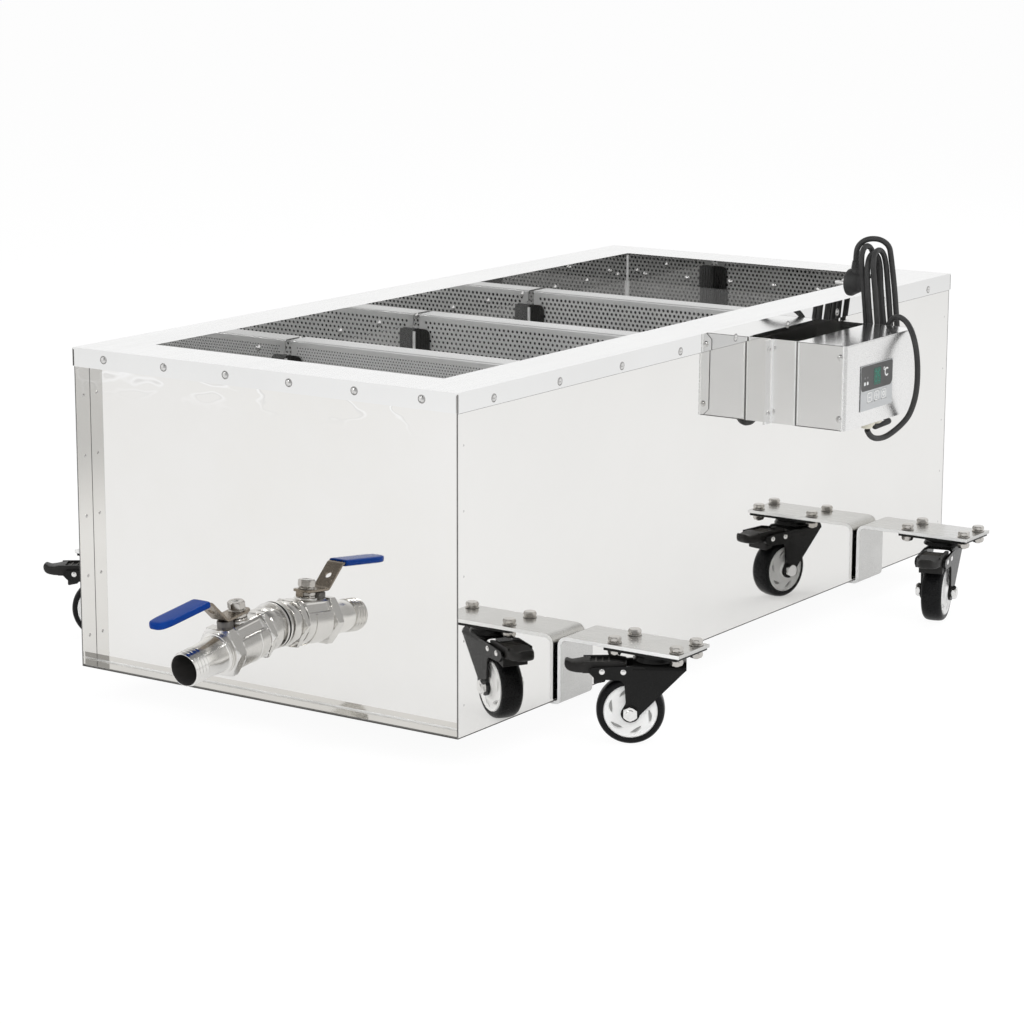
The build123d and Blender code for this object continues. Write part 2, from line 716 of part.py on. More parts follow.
def make_seats():
    """Two sealing rings, hollowed to the ball's curve."""
    hollow = Pos(OUTLET_X, STEM_Y, Z_VALVE) * Sphere(BALL_DIAMETER / 2 + SEAT_CLEARANCE)
    seats = []
    for near in (BALL_PLACE - SEAT_REACH, BALL_PLACE + SEAT_REACH - SEAT_DEPTH):
        ring = valve_rod(near, near + SEAT_DEPTH, CHAMBER - 2 * FIT)
        ring -= valve_rod(near - 1, near + SEAT_DEPTH + 1, VALVE_BORE)
        seats.append(ring - hollow)
    return seats


def make_ball():
    """Bored ball with a slot across its top for the stem's tang."""
    ball = Pos(OUTLET_X, STEM_Y, Z_VALVE) * Sphere(BALL_DIAMETER / 2)
    ball -= valve_rod(BALL_PLACE - BALL_DIAMETER, BALL_PLACE + BALL_DIAMETER, VALVE_BORE)
    half = TANG_WIDTH / 2 + FIT
    low = Z_VALVE + STEM_FOOT - 2 * FIT
    slot = block(
        OUTLET_X - half, OUTLET_X + half, STEM_Y - BALL_DIAMETER, STEM_Y + BALL_DIAMETER, low, Z_TOP
    )
    return ball - slot


def make_stem():
    """Stem with a tang in the ball's slot, a shoulder and a threaded neck."""
    half = TANG_WIDTH / 2
    reach = TANG_LENGTH / 2
    ball_top = BALL_DIAMETER / 2 + 4 * FIT
    tang = block(
        OUTLET_X - half, OUTLET_X + half, STEM_Y - reach, STEM_Y + reach,
        Z_VALVE + STEM_FOOT, Z_VALVE + ball_top,
    )
    barrel = rod(
        (OUTLET_X, STEM_Y, Z_VALVE + ball_top), (0, 0, 1), STEM_DIAMETER, STEM_SHOULDER - ball_top
    )
    neck = rod((OUTLET_X, STEM_Y, Z_VALVE + STEM_SHOULDER), (0, 0, 1), STEM_NECK, STEM_TOP - STEM_SHOULDER)
    return tang + barrel + neck


def make_packing_nut():
    start = (OUTLET_X, STEM_Y, Z_VALVE + BONNET_TOP)
    nut = hex_bar(start, (0, 0, 1), PACKING_FLATS, PACKING_HEIGHT)
    return nut - rod(start, (0, 0, 1), STEM_NECK + 2 * FIT, PACKING_HEIGHT)


def lever_seat():
    """Height of the lever's underside at the stem."""
    return Z_VALVE + BONNET_TOP + PACKING_HEIGHT + 3 * FIT


def make_lever():
    """Bent strip lever that lies along the pipe when the valve is open."""
    rest = lever_seat() + LEVER_SHEET / 2
    points = [
        (STEM_Y + LEVER_HEEL, rest),
        (STEM_Y - LEVER_KNEE, rest),
        (STEM_Y - LEVER_SHOULDER, rest + LEVER_LIFT),
        (STEM_Y - LEVER_REACH, rest + LEVER_LIFT),
    ]
    plane = Plane(origin=(OUTLET_X - LEVER_WIDTH / 2, 0, 0), x_dir=(0, 1, 0), z_dir=(1, 0, 0))
    lever = extrude(plane * strip(points, LEVER_SHEET), LEVER_WIDTH)
    lever -= rod((OUTLET_X, STEM_Y, Z_VALVE), (0, 0, 1), STEM_NECK + 2 * FIT, STEM_TOP)
    run = LEVER_SHOULDER - LEVER_KNEE
    normal = Vector(0, LEVER_LIFT, run).normalized()
    middle = Vector(OUTLET_X, STEM_Y - LEVER_KNEE - run / 2, rest + LEVER_LIFT / 2)
    return lever - rod(middle - normal * LEVER_SHEET, normal, LEVER_HOLE, 2 * LEVER_SHEET)


def make_sleeve(lever):
    """Vinyl grip over the free end of the lever."""
    rest = lever_seat() + LEVER_SHEET / 2 + LEVER_LIFT
    points = [(STEM_Y - SLEEVE_START, rest), (STEM_Y - LEVER_REACH - SLEEVE_OVERHANG, rest)]
    plane = Plane(origin=(OUTLET_X - SLEEVE_WIDTH / 2, 0, 0), x_dir=(0, 1, 0), z_dir=(1, 0, 0))
    return extrude(plane * strip(points, SLEEVE_THICKNESS), SLEEVE_WIDTH) - lever


def make_lever_nut():
    start = (OUTLET_X, STEM_Y, lever_seat() + LEVER_SHEET)
    nut = hex_bar(start, (0, 0, 1), LEVER_NUT_FLATS, LEVER_NUT_HEIGHT)
    return nut - rod(start, (0, 0, 1), STEM_NECK + 2 * FIT, STEM_TOP)


def make_barb():
    """Hose tail: thread, collar, plain tube and saw-tooth ribs at the mouth."""
    collar_end = BODY_END + BARB_COLLAR_LENGTH
    rib_start = collar_end + BARB_PLAIN
    mouth = rib_start + BARB_RIBS * BARB_RIB_PITCH
    tail = valve_rod(BODY_END - THREAD_DEPTH, BODY_END, BARB_THREAD)
    tail += valve_rod(BODY_END, collar_end, BARB_COLLAR)
    tail += valve_cone(collar_end, rib_start, BARB_BASE, BARB_OUTER)
    for index in range(BARB_RIBS):
        near = rib_start + index * BARB_RIB_PITCH
        tail += valve_cone(near, near + BARB_RIB_PITCH, BARB_CREST, BARB_OUTER)
    return tail - valve_rod(BODY_END - THREAD_DEPTH - 1, mouth + 1, BARB_BORE)


def make_bracket(corner):
    """Bent outrigger: under the tank, up the wall, then out over the castor."""
    x, y = CORNERS[corner]
    side = 1 if x > 0 else -1
    upright = HALF_W + BRACKET_WALL_GAP + BRACKET_PLATE / 2
    under = Z_BASE - BRACKET_PLATE / 2
    over = Z_BASE + BRACKET_HEIGHT - BRACKET_PLATE / 2
    path = FilletPolyline(
        (side * (HALF_W - BRACKET_UNDERLAP), y, under),
        (side * upright, y, under),
        (side * upright, y, over),
        (x + side * BRACKET_END, y, over),
        radius=[BRACKET_LOW_BEND, BRACKET_HIGH_BEND],
    )
    start = Plane(origin=path @ 0, x_dir=(0, 1, 0), z_dir=path % 0)
    plate = sweep(start * Rectangle(BRACKET_WIDTH, BRACKET_PLATE), path)
    return plate - bolt_holes(corner)


def bolt_places(corner):
    """Plan places of a castor's four bolts."""
    x, y = CORNERS[corner]
    return [
        (x + sx * BOLT_SPACING_X / 2, y + sy * BOLT_SPACING_Y / 2)
        for sx in (1, -1)
        for sy in (1, -1)
    ]


def bolt_holes(corner):
    top = Z_BASE + BRACKET_HEIGHT
    low = CASTOR_HEIGHT - 2 * TOP_PLATE_THICKNESS
    return [rod((x, y, low), (0, 0, 1), BOLT_HOLE, top + 1 - low) for x, y in bolt_places(corner)]


def make_castor_bolts():
    """Bolts with their washers from above, and nuts under the castors' plates."""
    top = Z_BASE + BRACKET_HEIGHT
    under = CASTOR_HEIGHT - TOP_PLATE_THICKNESS
    solids = []
    for corner in CORNERS:
        for x, y in bolt_places(corner):
            bolt = rod((x, y, top), (0, 0, 1), WASHER_DIAMETER, WASHER_THICKNESS)
            bolt += hex_bar((x, y, top + WASHER_THICKNESS), (0, 0, 1), BOLT_HEAD_FLATS, BOLT_HEAD_HEIGHT)
            low = under - NUT_HEIGHT - BOLT_STICKOUT
            bolt += rod((x, y, low), (0, 0, 1), BOLT_DIAMETER, top - low)
            nut = hex_bar((x, y, under - NUT_HEIGHT), (0, 0, 1), BOLT_HEAD_FLATS, NUT_HEIGHT)
            nut -= rod((x, y, under - NUT_HEIGHT), (0, 0, 1), BOLT_DIAMETER + FIT, NUT_HEIGHT)
            solids += [bolt, nut]
    return solids


def castor_place(corner):
    """Location of a castor: swivel axis at its corner, turned to its rest direction."""
    x, y = CORNERS[corner]
    return Pos(x, y, 0) * Rot(0, 0, CASTOR_YAW[corner])


def make_top_plate(corner):
    """Fixed top plate with the bearing boss and the riveted kingpin."""
    x, y = CORNERS[corner]
    plate = Pos(x, y, CASTOR_HEIGHT - TOP_PLATE_THICKNESS / 2) * Box(
        TOP_PLATE_LENGTH, TOP_PLATE_WIDTH, TOP_PLATE_THICKNESS
    )
    plate -= bolt_holes(corner)
    under = CASTOR_HEIGHT - TOP_PLATE_THICKNESS
    crown_under = CASTOR_HEIGHT - CROWN_DROP - FORK_PLATE
    plate += rod((x, y, under), (0, 0, -1), RACE_BOSS, RACE_BOSS_HEIGHT)
    plate += rod((x, y, under), (0, 0, -1), KINGPIN, under - crown_under + RACE_GAP)
    return plate + rod(
        (x, y, crown_under - RACE_GAP), (0, 0, -1), KINGPIN_HEAD, KINGPIN_HEAD_HEIGHT
    )


def fork_leg():
    """Side plate of a fork: crown, wing for the pedal and an eye for the axle."""
    axle = WHEEL_DIAMETER / 2
    crown = CASTOR_HEIGHT - CROWN_DROP
    low = crown - WING_DEPTH
    outline = Polyline(
        (-CROWN_BACK, crown),
        (CROWN_SHOULDER, crown),
        (CROWN_FRONT, crown - WING_DROP + 1),
        (WING_REACH - 4, crown - WING_DROP - 1),
        (WING_REACH, crown - 11),
        (WING_REACH - 8, low + 1),
        (TRAIL + 7, low),
        (TRAIL + 5, axle + AXLE_EYE),
        (TRAIL + AXLE_EYE, axle),
        (TRAIL - AXLE_EYE, axle - 2),
        (-CROWN_BACK, crown - 6),
        close=True,
    )
    return make_face(outline) + Pos(TRAIL, axle) * Circle(AXLE_EYE)


def make_fork(corner):
    """Two side plates joined by the crown, with the cup of the swivel race on top."""
    crown = CASTOR_HEIGHT - CROWN_DROP
    axle = WHEEL_DIAMETER / 2
    inner = FORK_INNER / 2
    outer = inner + FORK_PLATE
    upright = Plane(origin=(0, 0, 0), x_dir=(1, 0, 0), z_dir=(0, -1, 0))
    leg = extrude(upright * fork_leg(), FORK_PLATE)
    fork = Pos(0, -inner, 0) * leg + Pos(0, outer, 0) * leg
    fork += block(-CROWN_BACK, CROWN_FRONT, -outer, outer, crown - FORK_PLATE, crown)
    fork += rod((0, 0, crown), (0, 0, 1), RACE_CUP, RACE_CUP_HEIGHT)
    fork -= rod((0, 0, crown), (0, 0, 1), RACE_BOSS + 2 * RACE_GAP, RACE_CUP_HEIGHT + 1)
    fork -= rod((0, 0, 0), (0, 0, 1), KINGPIN + 2 * FIT, CASTOR_HEIGHT)
    fork -= rod((TRAIL, -outer - 1, axle), (0, 1, 0), AXLE_DIAMETER + FIT, 2 * outer + 2)
    pivot = (PEDAL_PIVOT_ALONG, -outer - 1, PEDAL_PIVOT_RISE)
    fork -= rod(pivot, (0, 1, 0), PEDAL_PIN + 2 * FIT, 2 * outer + 2)
    for sign in (1, -1):
        seat = (WING_RIVET_ALONG, sign * outer, PEDAL_PIVOT_RISE)
        fork += dome_rivet(seat, (0, sign, 0), WING_RIVET_HEAD, LIP_RIVET_RISE, LIP_RIVET_SHANK, FORK_PLATE)
    return castor_place(corner) * fork


def make_wheel(corner):
    """Hub with its boss, and the tread moulded round it."""
    axle = WHEEL_DIAMETER / 2
    centre = Pos(TRAIL, 0, axle) * Rot(90, 0, 0)
    tread = Cylinder(WHEEL_DIAMETER / 2, TREAD_WIDTH)
    tread = fillet(tread.edges(), TREAD_ROUND) - Cylinder(HUB_DIAMETER / 2, TREAD_WIDTH + 1)
    hub = Cylinder(HUB_DIAMETER / 2, TREAD_WIDTH)
    hub -= Pos(0, 0, HUB_WIDTH / 2) * Cylinder(HUB_DIAMETER / 2 - 4, HUB_WIDTH / 3)
    hub -= Pos(0, 0, -HUB_WIDTH / 2) * Cylinder(HUB_DIAMETER / 2 - 4, HUB_WIDTH / 3)
    hub += Cylinder(HUB_BOSS / 2, HUB_BOSS_WIDTH)
    hub -= Cylinder(AXLE_DIAMETER / 2 + FIT, HUB_BOSS_WIDTH + 1)
    place = castor_place(corner) * centre
    return [place * hub, place * tread]


def make_axle(corner):
    """Axle bolt with its head and its nut outside the fork."""
    axle = WHEEL_DIAMETER / 2
    outer = FORK_INNER / 2 + FORK_PLATE
    end = outer + AXLE_HEAD_HEIGHT + 1
    bolt = rod((TRAIL, -outer, axle), (0, 1, 0), AXLE_DIAMETER, outer + end)
    bolt += hex_bar((TRAIL, -outer, axle), (0, -1, 0), AXLE_HEAD_FLATS, AXLE_HEAD_HEIGHT)
    nut = hex_bar((TRAIL, outer, axle), (0, 1, 0), AXLE_HEAD_FLATS, AXLE_HEAD_HEIGHT)
    nut -= rod((TRAIL, outer, axle), (0, 1, 0), AXLE_DIAMETER + FIT, AXLE_HEAD_HEIGHT)
    place = castor_place(corner)
    return [place * bolt, place * nut]


def make_pedal(corner):
    """Brake pedal on its pin, with the shoe that comes down on the tread."""
    along = PEDAL_PIVOT_ALONG
    rise = PEDAL_PIVOT_RISE
    tip = PEDAL_TIP
    foot = [
        (WING_REACH + 4, rise + 9.8),
        (tip - 8, rise + 8.4),
        (tip - 3, rise + 10.2),
        (tip - 1, rise + 9.0),
        (tip, rise + 3.0),
        (tip - 4, rise - 2.4),
        (WING_REACH + 4, rise - 4.0),
    ]
    outline = Polyline(
        (along - 3, rise + 8.4),
        (along + 9, rise + 10.6),
        *foot,
        (WING_REACH - 6, rise - 3.0),
        (WING_REACH - 6, rise - 15.1),
        (along + 20, rise - 12.5),
        (along + 16, rise - 4.6),
        (along, rise - 4.6),
        (along - 4, rise - 1.6),
        close=True,
    )
    upright = Plane(origin=(0, PEDAL_WIDTH / 2, 0), x_dir=(1, 0, 0), z_dir=(0, -1, 0))
    pedal = extrude(upright * make_face(outline), PEDAL_WIDTH)
    wide = Plane(origin=(0, PEDAL_FOOT_WIDTH / 2, 0), x_dir=(1, 0, 0), z_dir=(0, -1, 0))
    pedal += extrude(wide * make_face(Polyline(*foot, close=True)), PEDAL_FOOT_WIDTH)
    outer = FORK_INNER / 2 + FORK_PLATE
    pedal += rod((along, -outer, rise), (0, 1, 0), PEDAL_PIN, 2 * outer)
    return castor_place(corner) * pedal


def make_standoff():
    """Two side plates that hold the control box clear of the hot wall."""
    plates = []
    holes = rivet_holes(standoff_rivet_places(), RIVET_HOLE, 2 * SHEET)
    for edge, inward in ((BOX_START, 1), (BOX_END, -1)):
        web = block(HALF_W, BOX_BACK, edge, edge + inward * SHEET, BOX_BOTTOM, BOX_TOP)
        web += block(HALF_W, HALF_W + SHEET, edge - inward * WALL_FLANGE, edge, BOX_BOTTOM, BOX_TOP)
        web += block(BOX_BACK - SHEET, BOX_BACK, edge, edge + inward * BACK_FLANGE, BOX_BOTTOM, BOX_TOP)
        plates.append(web - holes)
    return plates


def screw_places():
    """Seats and outward directions of the screws in the cover's side flanges."""
    places = []
    for y, out in ((BOX_START - SHEET, -1), (BOX_END + SHEET, 1)):
        for z in (BOX_BOTTOM + SCREW_INSET_Z, BOX_TOP - SCREW_INSET_Z):
            places.append(((BOX_FACE - SCREW_INSET_X, y, z), (0, out, 0)))
    return places


def make_box_body():
    """Control box body, a folded tray that opens outwards."""
    body = block(BOX_BACK, BOX_FACE, BOX_START, BOX_END, BOX_BOTTOM, BOX_TOP)
    body -= block(
        BOX_BACK + SHEET, BOX_FACE + 1, BOX_START + SHEET, BOX_END - SHEET,
        BOX_BOTTOM + SHEET, BOX_TOP - SHEET,
    )
    for out, y in (CORD_GLAND, HEATER_GLAND):
        place = (HALF_W + out, y, BOX_BOTTOM - 1)
        body -= rod(place, (0, 0, 1), GLAND_THREAD + 2 * FIT, 2 * SHEET + 1)
    return body - rivet_holes(screw_places(), SCREW_HOLE, 3 * SHEET)


def make_box_cover():
    """Face plate of the control box with bevelled side flanges and the panel cut-out."""
    cover = block(BOX_FACE, BOX_FACE + SHEET, BOX_START - SHEET, BOX_END + SHEET, BOX_BOTTOM, BOX_TOP)
    for y, out in ((BOX_START, -1), (BOX_END, 1)):
        flange = block(BOX_FACE - COVER_FLANGE, BOX_FACE, y, y + out * SHEET, BOX_BOTTOM, BOX_TOP)
        ends = flange.edges().filter_by(Axis.Y).group_by(Axis.X)[0]
        cover += chamfer(ends, COVER_BEVEL)
    middle = BOX_TOP - BEZEL_DROP
    cover -= block(
        BOX_FACE - 1, BOX_FACE + SHEET + 1,
        BEZEL_CENTRE_Y - MODULE_LENGTH / 2 - FIT, BEZEL_CENTRE_Y + MODULE_LENGTH / 2 + FIT,
        middle - MODULE_HEIGHT / 2 - FIT, middle + MODULE_HEIGHT / 2 + FIT,
    )
    return cover - rivet_holes(screw_places(), SCREW_HOLE, 2 * SHEET)


def make_cover_screws():
    screws = []
    for seat, outward in screw_places():
        screws.append(dome_rivet(seat, outward, SCREW_HEAD, SCREW_HEAD_RISE, SCREW_SHANK, SCREW_LENGTH))
    return screws


def button_places():
    """Centres of the three buttons along the panel."""
    middle = BOX_TOP - BEZEL_DROP - BUTTON_DROP
    return [(BEZEL_CENTRE_Y + BUTTON_FIRST + index * BUTTON_PITCH, middle) for index in range(3)]


def make_thermostat():
    """Thermostat module: panel on the face, housing through the cut-out, button wells."""
    middle = BOX_TOP - BEZEL_DROP
    back = BOX_FACE + SHEET
    front = back + BEZEL_THICKNESS
    panel = block(
        back, front, BEZEL_CENTRE_Y - BEZEL_LENGTH / 2, BEZEL_CENTRE_Y + BEZEL_LENGTH / 2,
        middle - BEZEL_HEIGHT / 2, middle + BEZEL_HEIGHT / 2,
    )
    panel += block(
        back - MODULE_DEPTH, back, BEZEL_CENTRE_Y - MODULE_LENGTH / 2, BEZEL_CENTRE_Y + MODULE_LENGTH / 2,
        middle - MODULE_HEIGHT / 2, middle + MODULE_HEIGHT / 2,
    )
    half = BUTTON_SIZE / 2 + BUTTON_GAP
    floor = front + BUTTON_PROUD - BUTTON_DEPTH - BUTTON_TRAVEL_ROOM
    for y, z in button_places():
        panel -= block(floor, front + 1, y - half, y + half, z - half, z + half)
    return panel


def make_button(index):
    y, z = button_places()[index]
    front = BOX_FACE + SHEET + BEZEL_THICKNESS + BUTTON_PROUD
    half = BUTTON_SIZE / 2
    return block(front - BUTTON_DEPTH, front, y - half, y + half, z - half, z + half)


def make_glands():
    """Two cable glands under the box: thread and hexagon, one with a domed nut for the cord."""
    glands = []
    for (out, y), drop in ((CORD_GLAND, CORD_GLAND_DROP), (HEATER_GLAND, HEATER_GLAND_DROP)):
        top = (HALF_W + out, y, BOX_BOTTOM)
        gland = rod(top, (0, 0, 1), GLAND_THREAD, GLAND_INSIDE)
        gland += hex_bar(top, (0, 0, -1), GLAND_HEX, GLAND_HEX_HEIGHT)
        if drop > GLAND_HEX_HEIGHT:
            gland += rod(top, (0, 0, -1), GLAND_DOME, drop)
        glands.append(gland)
    return glands


def make_heater_lead():
    """Lead from its gland along under the box, then through a grommet in the outer wall."""
    points = [(HALF_W + out, y, BOX_BOTTOM + rise) for out, y, rise in HEATER_ROUTE]
    path = FilletPolyline(*points, radius=HEATER_BENDS)
    lead = sweep(Plane(origin=path @ 0, z_dir=path % 0) * Circle(HEATER_LEAD / 2), path)
    return lead + rod(points[-1], (1, 0, 0), GROMMET, GROMMET_LENGTH)


def cord_radii(points):
    """Largest bend at each point: 0.45 of the shorter run over the tangent of half the turn."""
    radii = []
    for before, point, after in zip(points, points[1:], points[2:]):
        first = Vector(*point) - Vector(*before)
        last = Vector(*after) - Vector(*point)
        half_turn = math.radians(first.get_angle(last)) / 2
        radii.append(0.45 * min(first.length, last.length) / math.tan(half_turn))
    return radii


def swept_cord(path):
    """Round tube of the cord's diameter along a path."""
    start = Plane(origin=path @ 0, z_dir=path % 0)
    tube = sweep(start * Circle(CORD / 2), path)
    section = math.pi * CORD ** 2 / 4
    print("cord tube length", round(path.length, 1), "volume ratio", round(tube.volume / section / path.length, 4))
    return tube


def make_cord_lead():
    """Free cord from the gland, out round the face of the box and over its rear edge."""
    radii = cord_radii(LEAD_POINTS)
    print("lead radii", [round(radius, 1) for radius in radii])
    return swept_cord(FilletPolyline(*LEAD_POINTS, radius=radii))


def hank_points():
    """Corners of the hank's loops: up on the right, down on the left, layer by layer."""
    def place(layer, y, z):
        return (layer - HANK_LEAN * (z - HANK_BASE), y, z)

    left = HANK_LEFT
    right = HANK_LEFT + HANK_WIDTH
    points = [LEAD_POINTS[-1], (LEAD_POINTS[-1][0], left, HANK_FIRST_BASE)]
    base = HANK_FIRST_BASE
    for turn in range(HANK_TURNS):
        rising = HANK_LAYER + 2 * turn * HANK_LAYER_STEP
        falling = rising + HANK_LAYER_STEP
        points.append(place(rising, right, base))
        points.append(place(rising, right, HANK_TOP))
        points.append(place(falling, left, HANK_TOP))
        points.append(place(falling, left, HANK_BASE))
        base = HANK_BASE
    last = HANK_LAYER + 2 * HANK_TURNS * HANK_LAYER_STEP
    points.append(place(last, right + OUTER_LOOP_SPREAD, HANK_BASE))
    points.append(place(last, right + OUTER_LOOP_SPREAD, OUTER_LOOP_TOP))
    points.append((PLUG_X, PLUG_Y, OUTER_LOOP_TOP))
    points.append((PLUG_X, PLUG_Y, PLUG_CORD_Z))
    return points


def least_self_gap(path):
    """Smallest clear gap between stretches of the cord that are apart along its length."""
    step = CORD / 4
    count = int(path.length / step)
    samples = [path @ (index / count) for index in range(count + 1)]
    skip = int(math.pi * HANK_BEND / step)
    least = path.length
    for index, point in enumerate(samples):
        for other in samples[index + skip:]:
            least = min(least, (point - other).length)
    return least - CORD


def make_cord_hank():
    """Spare cord folded into upright loops behind the box, ending at the plug."""
    path = FilletPolyline(*hank_points(), radius=HANK_BEND)
    print("hank least gap", round(least_self_gap(path), 2))
    return swept_cord(path)


def make_plug():
    """Right-angled moulded plug that rests on the rim, with two round pins."""
    centre_z = Z_TOP + PLUG_REST_GAP + PLUG_DISC / 2
    face = (PLUG_FACE_X, PLUG_Y, centre_z)
    disc = rod(face, (1, 0, 0), PLUG_DISC, PLUG_DISC_LENGTH)
    back = Plane(origin=(PLUG_FACE_X + PLUG_DISC_LENGTH, PLUG_Y, centre_z), z_dir=(1, 0, 0))
    body = back * Cone(
        PLUG_DISC / 2, PLUG_BACK / 2, PLUG_BODY_LENGTH, align=(Align.CENTER, Align.CENTER, Align.MIN)
    )
    boss = Pos(PLUG_X, PLUG_Y, centre_z) * Cone(
        PLUG_BOSS / 2, PLUG_BOSS_TIP / 2, PLUG_CORD_Z - centre_z,
        align=(Align.CENTER, Align.CENTER, Align.MIN),
    )
    plug = disc + body + boss
    for sign in (1, -1):
        start = (PLUG_FACE_X, PLUG_Y + sign * PIN_SPACING / 2, centre_z)
        plug += rod(start, (-1, 0, 0), PIN_DIAMETER, PIN_LENGTH)
    return plug


def build_nodes():
    """Every sub-part by its node name."""
    nodes = {
        "base_panel": make_base_panel(),
        "right_panel": make_side_panel(1),
        "left_panel": make_side_panel(-1),
        "front_panel": make_end_panel(-1),
        "rear_panel": make_end_panel(1),
        "basin": make_basin(),
        "rim_cap": make_rim(),
        "dome_rivets": make_rivets(),
        "insulation_boards": make_insulation(),
        "heater_mat": make_heater(),
        "temperature_probe": make_probe(),
        "screen_fine": make_screen(SCREEN_PLACES[0], HOLE_FINE),
        "screen_medium": make_screen(SCREEN_PLACES[1], HOLE_MEDIUM),
        "screen_coarse": make_screen(SCREEN_PLACES[2], HOLE_COARSE),
        "screen_guides": make_guides(),
        "outlet_nipple": make_nipple(),
        "outlet_gasket": make_gasket(),
        "outlet_locknut": make_locknut(),
        "valve_end_piece": make_valve_end(),
        "valve_body": make_valve_body(),
        "valve_seats": make_seats(),
        "valve_ball": make_ball(),
        "valve_stem": make_stem(),
        "packing_nut": make_packing_nut(),
        "valve_lever": make_lever(),
        "lever_nut": make_lever_nut(),
        "hose_barb": make_barb(),
        "outrigger_brackets": [make_bracket(corner) for corner in CORNERS],
        "castor_plates": [make_top_plate(corner) for corner in CORNERS],
        "castor_bolts": make_castor_bolts(),
        "box_standoff": make_standoff(),
        "box_body": make_box_body(),
        "box_cover": make_box_cover(),
        "cover_screws": make_cover_screws(),
        "thermostat": make_thermostat(),
        "button_minus": make_button(0),
        "button_plus": make_button(1),
        "button_set": make_button(2),
        "cord_gland": make_glands(),
        "heater_lead": make_heater_lead(),
        "cord_lead": make_cord_lead(),
        "cord_hank": make_cord_hank(),
        "cord_plug": make_plug(),
    }
    nodes["lever_sleeve"] = make_sleeve(nodes["valve_lever"])
    for name in SLOPING_NODES:
        piece = nodes[name]
        nodes[name] = [tilted(solid) for solid in piece] if isinstance(piece, list) else tilted(piece)
    for corner in CORNERS:
        nodes["fork_" + corner] = make_fork(corner)
        nodes["wheel_" + corner] = make_wheel(corner)
        nodes["axle_" + corner] = make_axle(corner)
        nodes["pedal_" + corner] = make_pedal(corner)
    return nodes


os.makedirs("parts", exist_ok=True)
for node, shape in build_nodes().items():
    if isinstance(shape, list):
        shape = Compound(children=[solid for piece in shape for solid in piece.solids()])
    export_step(shape, "parts/" + node + ".step")
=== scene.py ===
"""Looks of a heated honey strainer tank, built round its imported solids.

Shapes are worked out in millimetres and become metres as each mesh is made.
+X points to the wall with the control box, -Y to the outlet valve and +Z up.
"""

import logging
import math
from collections.abc import Sequence
from dataclasses import dataclass
from enum import Enum
from functools import cache

import bmesh
import bpy
import numpy as np
from mathutils import Matrix, Vector

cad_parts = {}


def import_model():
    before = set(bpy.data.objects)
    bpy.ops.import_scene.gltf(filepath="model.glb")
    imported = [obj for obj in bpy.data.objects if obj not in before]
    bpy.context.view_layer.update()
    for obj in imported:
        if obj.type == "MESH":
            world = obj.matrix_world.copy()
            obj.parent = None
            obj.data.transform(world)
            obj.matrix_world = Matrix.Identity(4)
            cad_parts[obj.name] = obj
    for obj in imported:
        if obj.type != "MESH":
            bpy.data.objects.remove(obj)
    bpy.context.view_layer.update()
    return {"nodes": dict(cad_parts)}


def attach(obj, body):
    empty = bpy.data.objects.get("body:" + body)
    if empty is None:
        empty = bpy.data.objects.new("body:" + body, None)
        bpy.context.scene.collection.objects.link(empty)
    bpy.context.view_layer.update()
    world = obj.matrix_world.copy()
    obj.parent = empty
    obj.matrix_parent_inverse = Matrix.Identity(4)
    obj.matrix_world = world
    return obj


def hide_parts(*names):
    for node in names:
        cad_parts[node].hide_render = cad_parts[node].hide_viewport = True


LOG = logging.getLogger("honey_tank")
MM = 0.001
SIGNS = (1.0, -1.0)
WHITE = (1.0, 1.0, 1.0, 1.0)
WELD = 1e-6
SLIVER = 1e-7
BEVEL_ANGLE = 40.0
CONE_START = 0.985
CONE_RISE = 0.19
MIRROR_ROUGHNESS = 0.008
# Colour levels of the painted dark and bright reflection lines of sheet ripples
SHADED_REFLECTION_LEVEL = 0.70
BRIGHT_REFLECTION_LEVEL = 1.0

Pair = tuple[float, float]
Triple = tuple[float, float, float]
Array = np.ndarray
Outline = Sequence[Pair] | Array
Tree = bpy.types.NodeTree
Node = bpy.types.Node
Piece = bpy.types.Object
Socket = bpy.types.NodeSocket
Inputs = dict[str | int, object]
Radii = Sequence[float] | float


class Grain(Enum):
    """Direction in which a finish's fine lines run, as noise scales along X, Y and Z."""

    X = (6.0, 900.0, 900.0)
    Y = (900.0, 6.0, 900.0)
    Z = (900.0, 900.0, 6.0)
    EVEN = (700.0, 700.0, 700.0)
    COARSE = (260.0, 260.0, 260.0)


